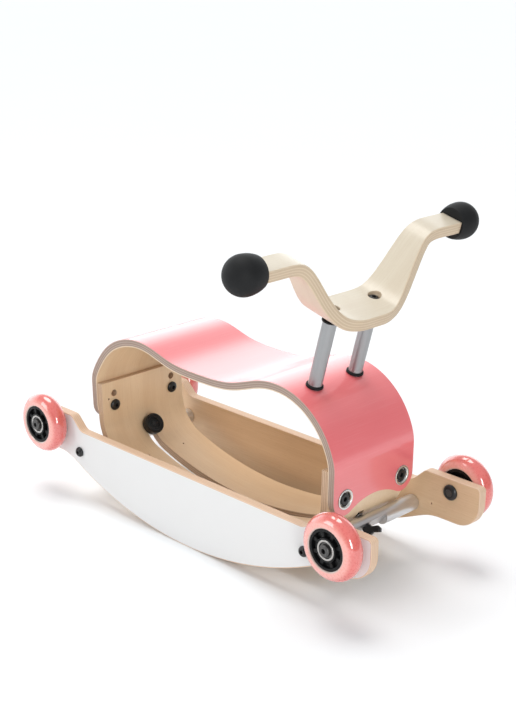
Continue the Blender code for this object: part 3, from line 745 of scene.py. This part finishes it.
def makeCradle(values):
    upper, lower = cradleFace(0), cradleFace(values["thick"])
    faces = (upper, lower)
    half = values["halfWidth"]

    def place(row, column, face):
        x, z = faces[face][row]
        return x, half * (column - 2) / 2, z

    shape = board(len(upper), 5, place)
    cradle = makePiece("cradleBoard", shape, ["cradleBirch", "cradleBirch", "cradlePly"])
    roundEdges(cradle, values["edge"])
    over, under = cradleFace(-4 * mm), cradleFace(values["thick"] + 4 * mm)
    first, last = 18, len(over) - 19  # the slot's ends, as places on the curve
    rings = []
    for index in range(first, last + 1):
        share = min(1, 0.3 + 0.7 * min(index - first, last - index) / 6)
        width = values["slotHalfWidth"] * math.sqrt(1 - (1 - share) ** 2)
        (ux, uz), (lx, lz) = over[index], under[index]
        rings.append([(ux, -width, uz), (ux, width, uz), (lx, width, lz), (lx, -width, lz)])
    cutters = [throughRings(rings)]
    for side in (-1, 1):
        boltZ = boltValues["z"][side]
        face = plateX(side, boltZ, values["thick"] / 2)
        for y in (-boltValues["y"], boltValues["y"]):
            for z, hole in ((boltZ, "hole"), (boltZ + boltValues["spareRise"], "spare")):
                cutters.append(moved(rod(boltValues[hole], -12 * mm, 12 * mm), (face, y, z), (1, 0, 0)))
        pilot = (plateX(side, 117 * mm, 0) - side * 2 * mm, side * 54.5 * mm, 117.3 * mm)
        cutters.append(moved(rod(values["pilot"], 0, 5 * mm, 20), pilot, (side, 0, 0)))
    pilot = rod(values["pilot"], -4 * mm, 4 * mm, 20)
    for y in (-28 * mm, 28 * mm):  # two more holes in the rear bend
        cutters.append(moved(pilot, (-134.5 * mm, y, 50 * mm), (0.35, 0, 0.94)))
    cutFrom(cradle, cutters)
    layUp(cradle, upper, values["thick"], [0, 2])
    fit(cradle, "cradle")


# saddle shell

saddleValues = {
    "thick": boardThick["saddle"],
    "gap": 0.3 * mm,
    "lobeRadius": 18.3 * mm,
    "archDrop": 6.4 * mm,
    "edge": 1.2 * mm,
    "crown": [(-187.3, 163.6), (-165.5, 189.7), (-133.5, 205.8), (-97, 207.9), (-57, 198.1), (-10.5, 194.8),
              (46, 199.6), (88.5, 212.9), (133.5, 211.5), (170.5, 190), (191, 160)],
}
saddleDepth = cradleValues["thick"] + saddleValues["gap"] + saddleValues["thick"]


def lobedEnd(side, y, values):
    # how low the shell reaches at a place across it: two round lobes with an arch between them
    boltZ, boltY = boltValues["z"][side], boltValues["y"]
    lobe, drop = values["lobeRadius"], values["archDrop"]
    arch = (boltY**2 + drop**2 - lobe**2) / (2 * (lobe - drop))
    archZ = boltZ - drop - arch
    meet = math.atan2(boltY, boltZ - archZ)
    y = abs(y)
    if y < arch * math.sin(meet):
        return archZ + math.sqrt(arch**2 - y * y)
    return boltZ - math.sqrt(max(0, lobe**2 - (y - boltY) ** 2))


def makeSaddle(values):
    thick, half, top = values["thick"], cradleValues["halfWidth"], cradleValues["plateTopZ"]
    rearHigh = (plateX(-1, top, saddleDepth), top)
    frontHigh = (plateX(1, top, saddleDepth), top)
    knots = [rearHigh, *((x * mm, z * mm) for x, z in values["crown"]), frontHigh]
    tilt = cradleValues["tilt"][-1]
    crown = smoothCurve(knots, (-math.sin(tilt), math.cos(tilt)), (0, -1), 10)
    under = beside(crown, thick)
    under[0] = (plateX(-1, top, saddleDepth - thick), top)
    under[-1] = (plateX(1, top, saddleDepth - thick), top)
    faces = (crown, under)
    plateRows = 10
    columns = [half * math.sin(math.pi / 2 * step / 24) for step in range(-24, 25)]  # closer near the edges

    def place(row, column, face):
        y = columns[column]
        index = row - plateRows
        if 0 <= index < len(crown):
            x, z = faces[face][index]
            return x, y, z
        side = -1 if index < 0 else 1
        share = row / plateRows if side < 0 else (len(crown) + 2 * plateRows - 1 - row) / plateRows
        low = lobedEnd(side, y, values)
        z = low + (top - low) * share
        return plateX(side, z, saddleDepth - face * thick), y, z

    rows = len(crown) + 2 * plateRows
    shape = board(rows, len(columns), place)
    saddle = makePiece("saddleShell", shape, ["pinkLaminate", "saddleInside", "saddlePly"])
    roundEdges(saddle, values["edge"])
    hole = turned(inMm([(0, -20), (3.4, -20), (3.4, -6.2), (11.2, -6.2), (11.2, 4), (0, 4)]))
    cutters = []
    for side in (-1, 1):
        boltZ = boltValues["z"][side]
        face = plateX(side, boltZ, saddleDepth)
        for y in (-boltValues["y"], boltValues["y"]):
            cutters.append(moved(hole, (face, y, boltZ), (side, 0, 0)))
    for y in (-postValues["y"], postValues["y"]):
        foot = barFrame.translation + barTurn @ Vector((0, y, -postValues["drop"]))
        cutters.append(moved(rod(postValues["radius"] + 0.3 * mm, -20 * mm, 12 * mm), foot, barTurn @ up))
    cutFrom(saddle, cutters)
    low = 80 * mm
    outline = [(plateX(-1, low, saddleDepth), low), (plateX(-1, 110 * mm, saddleDepth), 110 * mm), *crown,
               (plateX(1, 110 * mm, saddleDepth), 110 * mm), (plateX(1, low, saddleDepth), low)]
    layUp(saddle, outline, thick, [0, 2])
    fit(saddle, "seat_shell")


# handlebar, posts and grips

postValues = {"y": 32 * mm, "radius": 7.7 * mm, "drop": 92.75 * mm}
handlebarValues = {
    "origin": (159 * mm, 0, 301.4 * mm),
    "lean": math.radians(14.3),
    "thick": boardThick["handlebar"],
    "armEnd": 160 * mm,
    "arm": (4.5, -24),
    "centre": (34, -22.5),
    "taper": (12 * mm, 88 * mm),
    "armHeight": 66.8 * mm,
    "edge": 1.8 * mm,
    "wave": [(0, 0), (24, 0.3), (36, 2.4), (49, 11), (59.3, 22.5), (69.5, 36.5), (80.5, 51), (91.5, 61),
             (105, 66), (123, 66.9)],
}
barTurn = Matrix.Rotation(handlebarValues["lean"], 4, "Y")
barFrame = Matrix.Translation(handlebarValues["origin"]) @ barTurn
gripValues = {"y": 167 * mm, "radius": 20.7 * mm, "longSide": 31 * mm, "gap": 0.2 * mm}


def makeHandlebar(values):
    knots = [(y * mm, z * mm) for y, z in values["wave"]] + [(values["armEnd"], values["armHeight"])]
    half = smoothCurve(knots, (1, 0), (1, 0), 8)
    top = [(-y, z) for y, z in half[:0:-1]] + half
    under = beside(top, values["thick"])
    faces = (top, under)

    def place(row, column, face):
        share = ease((abs(top[row][0]) - values["taper"][0]) / values["taper"][1])
        front, rear = ((a + (b - a) * share) * mm for a, b in zip(values["centre"], values["arm"]))
        y, z = faces[face][row]
        return rear + (front - rear) * column / 2, y, z

    shape = board(len(top), 3, place)
    bar = makePiece("handlebarBoard", shape, ["handlebarBirch", "handlebarBirch", "handlebarPly"])
    bar.matrix_world = barFrame
    roundEdges(bar, values["edge"], 4)
    hole = turned(inMm([(0, -20), (3.3, -20), (3.3, -5), (7.1, -5, 0.3), (7.1, -0.3), (7.4, 0.1), (7.4, 5),
                        (0, 5)]))
    cutFrom(bar, [moved(hole, (0, y, 0)) for y in (-postValues["y"], postValues["y"])])
    layUp(bar, top, values["thick"], [1, 2])
    fit(bar, "handlebar")


def makeGrips(values):
    radius = values["radius"]
    middleX = sum(handlebarValues["arm"]) / 2 * mm
    middleZ = handlebarValues["armHeight"] - handlebarValues["thick"] / 2
    profile = [(0, radius)]
    for step in range(1, 36):
        angle = math.radians(90 - 4 * step if step < 23 else 2.77 * (22.5 - step))
        height = radius if angle > 0 else values["longSide"]
        profile.append((radius * math.cos(angle), height * math.sin(angle)))
    profile[-1] += (0.6 * mm,)
    profile.append((0, profile[-1][1]))
    gap = values["gap"]
    wide = (handlebarValues["arm"][0] - handlebarValues["arm"][1]) / 2 * mm + gap
    high = handlebarValues["thick"] / 2 + gap
    deep = handlebarValues["armEnd"] - values["y"] + gap
    mouth, mouthFaces = block((-wide, -high, -30 * mm), (wide, high, deep))
    for lead, side in sides.items():
        turn = pointing((0, 0, 0), (0, side, 0))
        place = barFrame @ Matrix.Translation((middleX, side * values["y"], middleZ)) @ turn
        ball = makePiece("gripBall" + lead.title(), turned(profile[::-1], 96), ["gripRubber"], place)
        points = [turn.inverted() @ Vector((point.x, side * point.z, point.y)) for point in mouth]
        cutFrom(ball, [(points, mouthFaces)])
        evenShading(ball)
        fit(ball, "grip_ball_" + lead)


def makePosts(values):
    under = handlebarValues["thick"] + 0.3 * mm
    top = -under - 1.9 * mm
    foot = -values["drop"] - saddleValues["thick"] - 2.2 * mm
    radius = values["radius"]
    post = inMm([(0, -4.5), (11, -4.5, 1), (11, -0.3, 0.4)], foot)
    post += [(radius, foot - 0.3 * mm, 0.3 * mm), (radius, top, 0.5 * mm)]
    post += inMm([(3.3, 0, 0.3), (3.3, -20), (0, -20)], top)
    washer = inMm([(3.3, -1.6), (9.2, -1.6, 0.5), (9.2, 0, 0.5), (3.3, 0)], -under)
    low = -values["drop"] - 0.3 * mm
    collar = [(radius + 0.1 * mm, low), *inMm([(9.6, 0, 0.4), (9.6, 2.1, 0.9), (8.6, 2.8, 0.4)], low),
              (radius + 0.1 * mm, low + 2.8 * mm, 0.2 * mm)]
    bolt = domeBolt(6.7, 4.6, 2.3)
    for lead, side in sides.items():
        place = barFrame @ Matrix.Translation((0, side * values["y"], 0))
        fitTurned("post_" + lead, "postTube", post, place, 96)
        fitTurned("post_washer_" + lead, "clampPlastic", washer, place)
        fitTurned("post_collar_" + lead, "gripRubber", collar, place)
        place = barFrame @ Matrix.Translation((0, side * values["y"], -4.7 * mm))
        fitTurned("handlebar_bolt_" + lead, "blackScrew", bolt, place, hexagon=2.3 * mm)


# screws


def domeBolt(head, height, socket):
    # a button-headed screw along Z, in millimetres: the head above 0, the shank below
    return inMm([(0, -30), (3, -30, 0.4), (3, 0), (head, 0, 0.2), (head, 0.3 * height, 0.5),
                 (0.9 * head, 0.66 * height, 1.2), (0.62 * head, height, 1), (socket + 0.35, height, 0.15),
                 (socket, height - 0.3), (socket, 0.35 * height), (0.3 * socket, 0.3 * height),
                 (0, 0.3 * height)])


def makeSeatBolts():
    cup = inMm([(3.4, -5.9), (10.9, -5.9), (11, 0.1), (11.3, 0.6, 0.3), (10.6, 1, 0.5), (8.9, 0.6, 0.6),
                (7.6, -2.2, 0.8), (7.4, -4.4, 0.4), (3.4, -4.4)])
    for end, side in ends.items():
        boltZ = boltValues["z"][side]
        face = plateX(side, boltZ, saddleDepth)
        inner = -abs(face - plateX(side, boltZ, 0)) - 0.3 * mm - 6.9 * mm * math.tan(cradleValues["tilt"][-1])
        bolt = inMm([(0, -1.2), (2.2, -1.2), (2.3, -3.2), (2.7, -3.5, 0.2), (5, -3.2, 1.2), (6.9, -1.6, 0.8),
                     (6.9, 0, 0.2), (3, 0)], inner)
        bolt += inMm([(3, -4.1), (6.5, -4.1, 0.2), (6.5, -1, 0.8), (5.7, 0, 0.6), (2.9, 0, 0.15), (2.5, -0.3),
                      (2.5, -3), (0, -3)])
        for lead, across in sides.items():
            place = pointing((face, across * boltValues["y"], boltZ), (side, 0, 0))
            fitTurned(f"seat_cup_{end}_{lead}", "brightSteel", cup, place, 96)
            fitTurned(f"seat_bolt_{end}_{lead}", "blackScrew", bolt, place, hexagon=2.5 * mm)


def makeBarBolts():
    bolt = domeBolt(6, 4, 2)
    x, y, z = (barValues[name] for name in ("x", "boltY", "z"))
    for lead, across in sides.items():
        for end, side in ends.items():
            place = pointing((side * x, across * y, z), (0, across, 0))
            fitTurned(f"bar_bolt_{end}_{lead}", "blackScrew", bolt, place, hexagon=2 * mm)


# rocker panels

panelValues = {
    "innerY": 83.2 * mm,
    "thick": boardThick["panel"],
    "halfLength": 273.5 * mm,
    "topZ": 85.3 * mm,
    "earTopZ": 101.2 * mm,
    "earStartX": 199 * mm,
    "earStep": 17 * mm,
    "earUnderZ": 51 * mm,
    "earCorner": 29 * mm,
    "rockerRadius": 445 * mm,
    "rockerBlend": 15 * mm,
    "footHalf": 3 * mm,
    "corners": (5 * mm, 9 * mm, 12 * mm),
    "axleHole": 4.3 * mm,
    "edge": 1.1 * mm,
}
wheelValues = {
    "x": 235 * mm,
    "y": 107.9 * mm,
    "z": 86 * mm,
    "tyre": 36 * mm,
    "crown": 11.5 * mm,
    "width": 23.4 * mm,
    "core": 22.2 * mm,
    "bearing": 11 * mm,
    "bearingWidth": 7 * mm,
    "nutY": 82.9 * mm,
    "spokes": 8,
}


def roundedCorner(before, corner, after, radius, steps):
    a = (Vector(before) - Vector(corner)).normalized()
    b = (Vector(after) - Vector(corner)).normalized()
    half = a.angle(b) / 2
    centre = Vector(corner) + (a + b).normalized() * radius / math.sin(half)
    first = Vector(corner) + a * radius / math.tan(half) - centre
    sweep = first.angle_signed(Vector(corner) + b * radius / math.tan(half) - centre)
    return [tuple(centre + Matrix.Rotation(-sweep * step / steps, 2) @ first) for step in range(steps + 1)]


def panelOutline(values):
    radius, blend = values["rockerRadius"], values["rockerBlend"]
    half, topZ, earTop, under = (values[name] for name in ("halfLength", "topZ", "earTopZ", "earUnderZ"))
    foot = values["footHalf"]
    meet = math.sqrt(radius**2 - (radius - under) ** 2)
    slope = meet / (radius - under)
    points = []
    for step in range(41):  # a short flat in the middle, which the part rests on
        x = foot + (meet - blend - foot) * step / 40
        points.append((x, radius - math.sqrt(radius * radius - x * x)))
    before = (meet - 2 * blend, under - 2 * blend * slope)
    blendRadius = blend / math.tan(math.atan(slope) / 2)
    points += roundedCorner(before, (meet, under), (meet + 50 * mm, under), blendRadius, 14)[1:]
    corner = values["earCorner"]
    centre = (half - corner, under + corner)
    for step in range(21):
        angle = math.pi / 2 * (step / 20 - 1)
        points.append((centre[0] + corner * math.cos(angle), centre[1] + corner * math.sin(angle)))
    high, stepTop = (half, earTop), (values["earStartX"], earTop)
    stepFoot = (values["earStartX"] - values["earStep"], topZ)
    tip, brow, hollow = values["corners"]
    points += roundedCorner((half, earTop - 50 * mm), high, stepTop, tip, 8)
    points += roundedCorner(high, stepTop, stepFoot, brow, 10)
    points += roundedCorner(stepTop, stepFoot, (0, topZ), hollow, 10)
    low = points[0][1]
    points = [(x, z - low) for x, z in points]
    return points + [(-x, z) for x, z in reversed(points)]


def makePanels(values):
    outline = panelOutline(values)
    inner, thick = values["innerY"], values["thick"]
    coats = ["panelWhite", "panelBirch", "panelPly"]
    for lead, side in sides.items():
        rings = [[(x, side * y, z) for x, z in outline] for y in (inner, inner + thick)]
        panel = makePiece("rockerPanel" + lead.title(), throughRings(rings), coats)
        roundEdges(panel, values["edge"])
        cutters = []
        for end in (-1, 1):
            holes = [(end * wheelValues["x"], wheelValues["z"], values["axleHole"], 15 * mm, 89 * mm),
                     (end * barValues["x"], barValues["z"], barValues["bore"], 15 * mm, 89 * mm),
                     (end * 210 * mm, 64.5 * mm, cradleValues["pilot"], 2.5 * mm, inner)]
            for x, z, radius, reach, y in holes:
                cutters.append(moved(rod(radius, -reach, reach, 32), (x, side * y, z), (0, 1, 0)))
        cutFrom(panel, cutters)
        mesh = panel.data
        normals = readArray(mesh.polygons, "normal", 3)
        centres = readArray(mesh.polygons, "center", 3)
        outer = (normals[:, 1] * side > 0.99) & (abs(centres[:, 1]) > inner + thick - 0.05 * mm)
        back = (normals[:, 1] * side < -0.99) & (abs(centres[:, 1]) < inner + 0.05 * mm)
        places = readArray(mesh.vertices, "co", 3)
        markBoard(mesh, outer, back, places[:, 0] + places[:, 2], inner + thick - abs(places[:, 1]))
        evenShading(panel)
        fit(panel, "side_panel_" + lead)


# cross bars and clamps


def makeCrossBars(values):
    radius, half, rise, flatHalf = (values[name] for name in ("radius", "half", "flatRise", "flatHalf"))
    for end, side in ends.items():
        place = pointing((side * values["x"], 0, values["z"]), (0, 1, 0))
        tube = [(0, -half), (radius, -half, 0.6 * mm), (radius, half, 0.6 * mm), (0, half)]
        bar = makePiece("crossBar" + end.title(), turned(tube, 96), ["satinTube"], place)
        outward = place.to_3x3().inverted() @ clampLine(side)[2]
        across = outward.cross(up).normalized()
        turn = Matrix((across, outward, up)).transposed()
        flat = block((-16 * mm, rise, -flatHalf), (16 * mm, 20 * mm, flatHalf))
        cutters = [([turn @ point for point in flat[0]], flat[1])]
        cutters.append(moved(rod(values["bore"], -20 * mm, 20 * mm, 32), (0, 0, 0), outward))
        for way in (-1, 1):
            hole = rod(values["bore"], 0, 26 * mm, 32)
            cutters.append(moved(hole, (0, 0, way * (half + 2 * mm)), (0, 0, -way)))
        cutFrom(bar, cutters)
        evenShading(bar)
        fit(bar, "cross_bar_" + end)


# a round knob with a recessed face and a stepped ring in it
knobProfile = inMm([(3.3, 0), (9.5, 0, 0.4), (9.5, 2, 0.5), (12.6, 3.6, 0.8), (12.9, 12.2, 0.8),
                    (11.8, 14, 1), (9.6, 14, 0.5), (9, 12.8, 0.4), (6.6, 12.8, 0.4), (6.2, 11, 0.4),
                    (3.3, 11)])


def makeClamps():
    bend, thick = cradleValues["bendRadius"], cradleValues["thick"]
    for end, side in (("rear", -1), ("front", 1)):
        centre, bar, outward = clampLine(side)
        outside = centre + outward * (bend + thick)
        room = (bar - outside).length - barValues["radius"] - 0.3 * mm
        ring = inMm([(4, 0.45), (5.6, 0.45, 0.4)]) + inMm([(5.6, 0, 0.4), (4, 0)], room)
        fitTurned("clamp_spacer_" + end, "postTube", ring, pointing(outside, outward))
    centre, bar, outward = clampLine(-1)
    base = centre + outward * (bend - 1.4 * mm)
    knob = makePiece("rearKnob", turned(knobProfile, 120), ["clampPlastic"], pointing(base, -outward))
    fit(knob, "rear_clamp_knob")
    reach = (bar - base).length
    bolt = inMm([(0, -11), (3, -11, 0.4)])
    bolt += inMm([(3, 3.5), (6, 3.5, 0.3), (6, 7.5, 0.8), (2.5, 7.5, 0.2), (2.5, 5), (0, 5)], reach)
    fitTurned("rear_clamp_bolt", "blackScrew", bolt, pointing(base, outward), hexagon=2.5 * mm)
    centre, bar, outward = clampLine(1)
    inside = centre + outward * (bend - 0.3 * mm)
    reach = (bar - inside).length
    bolt = inMm([(0, -2), (2.4, -2), (2.5, -4, 0.2), (8.5, -4, 0.8), (9.5, -3, 0.8), (9.5, -0.9, 0.2),
                 (3, -0.9)])
    bolt += inMm([(3, 14.4, 0.5), (0, 14.4)], reach)
    fitTurned("front_clamp_bolt", "blackScrew", bolt, pointing(inside, outward), hexagon=2.5 * mm)
    outline = [(-4.6, 0), (4.6, 0), (5.2, 4), (11.4, 7.5), (12.2, 12.5), (9.6, 15.4), (5, 12), (3.8, 10.4),
               (-3.8, 10.4), (-5, 12), (-9.6, 15.4), (-12.2, 12.5), (-11.4, 7.5), (-5.2, 4)]
    rings = []
    for y, share in ((-3.9, 0.86), (-2.6, 1), (2.6, 1), (3.9, 0.86)):  # its edges are chamfered
        rings.append([(y * mm, share * x * mm, 8 * mm + share * (z - 8) * mm) for x, z in outline])
    place = pointing(bar + outward * 3.5 * mm, outward) @ Matrix.Rotation(math.radians(-30), 4, "Z")
    wing = makePiece("frontWingNut", throughRings(rings), ["clampPlastic"], place)
    roundEdges(wing, 0.6 * mm, 3, 30)
    cutFrom(wing, [rod(barValues["bore"], -6 * mm, 22 * mm, 32)])
    evenShading(wing)
    fit(wing, "front_clamp_lever")


# wheels


def makeWheels(values):
    half, rim, crown = values["width"] / 2, values["core"], values["crown"]
    tyre = [(rim + 0.3 * mm, -half + 0.8 * mm), (rim + 1.1 * mm, -half, 0.4 * mm)]
    for step in range(37):
        angle = math.pi * (step / 36 - 0.5)
        tyre.append((values["tyre"] - crown + crown * math.cos(angle), half * math.sin(angle)))
    tyre += [(rim + 1.1 * mm, half, 0.4 * mm), (rim + 0.3 * mm, half - 0.8 * mm)]
    edge = half - 0.9 * mm
    core = inMm([(5, 0), (12.6, 0, 0.3)], -half)
    core += inMm([(12.9, 4, 0.5), (18.6, 4, 0.5), (19.1, 0, 0.4)], -edge)
    core += [(rim, -edge, 0.4 * mm), (rim, edge, 0.4 * mm)]
    core += inMm([(19.4, 0, 0.4), (19.2, -0.8), (18.9, -4.6, 0.5), (16, -5), (13.4, -4.6, 0.5),
                  (13.1, -0.6)], edge)
    seat = half - values["bearingWidth"] - 0.3 * mm
    core += inMm([(12.9, -0.3, 0.3), (11.15, -0.3, 0.3)], half) + inMm([(11.15, 0), (5, 0)], seat)

    def spokes(radius, height, angle):
        # the spokes fill the outer recess to just under its rim
        inside = 13.2 * mm < radius < 19.1 * mm and height > 0
        if not inside:
            return 0
        phase = (angle * values["spokes"] / math.tau) % 1
        return ease((0.2 - abs(phase - 0.5)) / 0.06) * max(0, edge - 1.6 * mm - height)

    low, high = half - values["bearingWidth"] - 0.15 * mm, half - 0.15 * mm
    race = [(8.6 * mm, low), (values["bearing"], low, 0.5 * mm), (values["bearing"], high, 0.6 * mm),
            *inMm([(8.9, 0, 0.3), (8.6, -0.5, 0.2)], high)]
    back = -half - 1 * mm
    axle = inMm([(0, -28.4), (4, -28.4)]) + inMm([(4, -0.3), (7, -0.3)], back)
    axle += inMm([(7, -0.3), (4.7, -0.3)], -half) + inMm([(4.7, 0), (8.3, 0)], low)
    axle += inMm([(8.3, -1.1, 0.3), (6.9, -0.9, 0.2), (6.6, -0.9), (6.6, 2.2, 0.9), (5.6, 3.2, 0.6),
                  (2.9, 3.2, 0.2), (2.5, 2.8), (2.5, -0.6), (0, -0.6)], high)
    nut = inMm([(4.3, 0), (9, 0, 0.2), (9, 1.3, 0.5), (7.6, 3, 0.9), (5.6, 3.8, 0.6), (4.3, 3.8)])
    for lead, across in sides.items():
        for end, side in ends.items():
            place = pointing((side * values["x"], across * values["y"], values["z"]), (0, across, 0))
            tag = f"{end}_{lead}"
            fitTurned("tyre_" + tag, "coralTyre", tyre, place, 128)
            fitTurned("wheel_core_" + tag, "wheelPlastic", core, place, 160, lift=spokes)
            fitTurned("bearing_" + tag, "bearingSteel", race, place, 96)
            fitTurned("axle_" + tag, "greyScrew", axle, place, hexagon=2.5 * mm)
            place = pointing((side * values["x"], across * values["nutY"], values["z"]), (0, -across, 0))
            fitTurned("axle_nut_" + tag, "blackScrew", nut, place)


makeCradle(cradleValues)
makeSaddle(saddleValues)
print("saddle and cradle made")
makePanels(panelValues)
makeCrossBars(barValues)
makeBarBolts()
makeClamps()
print("rocker panels, cross bars and clamps made")
makeWheels(wheelValues)
print("wheels made")
makeHandlebar(handlebarValues)
makeGrips(gripValues)
makePosts(postValues)
makeSeatBolts()
print("handlebar, posts and screws made")


# floor and lights

studioValues = {
    "floor": (0.86, 0.875, 0.89),
    "tint": (0.96, 0.985, 1.0),
    "nearSky": 0.3,
    "farSky": 2.3,
    "highSky": 0.65,
    "away": (-0.85, 0.52),
    "sunStrength": 1.42,
    "sunColor": (1.0, 0.985, 0.96),
    "sunFrom": (-0.3, 0.1, 1.0),
    "sunSoftness": 34,
    "softboxes": {  # place, height aimed at, power, width and height
        "leftSoftbox": ((-1.0, -1.9, 1.1), 0.1, 12, 0.9, 1.3),
        "frontSoftbox": ((1.9, -1.2, 0.75), 0.12, 16, 0.45, 0.9),
    },
}


def makeFloor(values):
    mesh = bpy.data.meshes.new("floor")
    mesh.from_pydata([(-30, -30, 0), (30, -30, 0), (30, 30, 0), (-30, 30, 0)], [], [(0, 1, 2, 3)])
    floor = bpy.data.objects.new("floor", mesh)
    scene.collection.objects.link(floor)
    finish = Finish("paleFloor", {"Roughness": 0.9, "Specular IOR Level": 0.0})
    cloud = finish.noise(finish.object, 3.0, 2.0)
    paler = tuple(tone + 0.01 for tone in values["floor"])
    finish.feed(finish.shader, "Base Color", finish.blend(cloud, values["floor"], paler))
    mesh.materials.append(finish.material)


class Sky(Finish):  # the world's light, which depends on its direction
    def __init__(self, name):
        scene.world = bpy.data.worlds.new(name)
        scene.world.use_nodes = True
        self.nodes, self.links = scene.world.node_tree.nodes, scene.world.node_tree.links
        self.shader = self.nodes["Background"]
        self.direction = self.node("ShaderNodeTexCoord", {}, {}, "Generated")


def makeSky(values):
    sky = Sky("studio")
    x, y, z = (sky.axis(sky.direction, index) for index in range(3))
    away = x * values["away"][0] + y * values["away"][1]
    around = values["nearSky"] + (values["farSky"] - values["nearSky"]) * sky.step(away, 0.25, 0.8)
    high = sky.step(z, 0.42, 0.68)
    sky.feed(sky.shader, "Color", values["tint"])
    sky.feed(sky.shader, "Strength", around * (1 - high) + high * values["highSky"])


def makeLamp(name, kind, place, aim, energy, **settings):
    data = bpy.data.lights.new(name, kind)
    data.energy = energy
    for setting, value in settings.items():
        setattr(data, setting, value)
    lamp = bpy.data.objects.new(name, data)
    scene.collection.objects.link(lamp)
    lamp.matrix_world = pointing(place, Vector(place) - Vector(aim))


makeFloor(studioValues)
makeSky(studioValues)
makeLamp("keyLamp", "SUN", Vector(studioValues["sunFrom"]) * 3, (0, 0, 0), studioValues["sunStrength"],
         angle=math.radians(studioValues["sunSoftness"]), color=studioValues["sunColor"])
for name, (place, aimZ, power, wide, high) in studioValues["softboxes"].items():
    makeLamp(name, "AREA", place, (0, 0, aimZ), power, shape="RECTANGLE", size=wide, size_y=high)
print("floor and lights made")
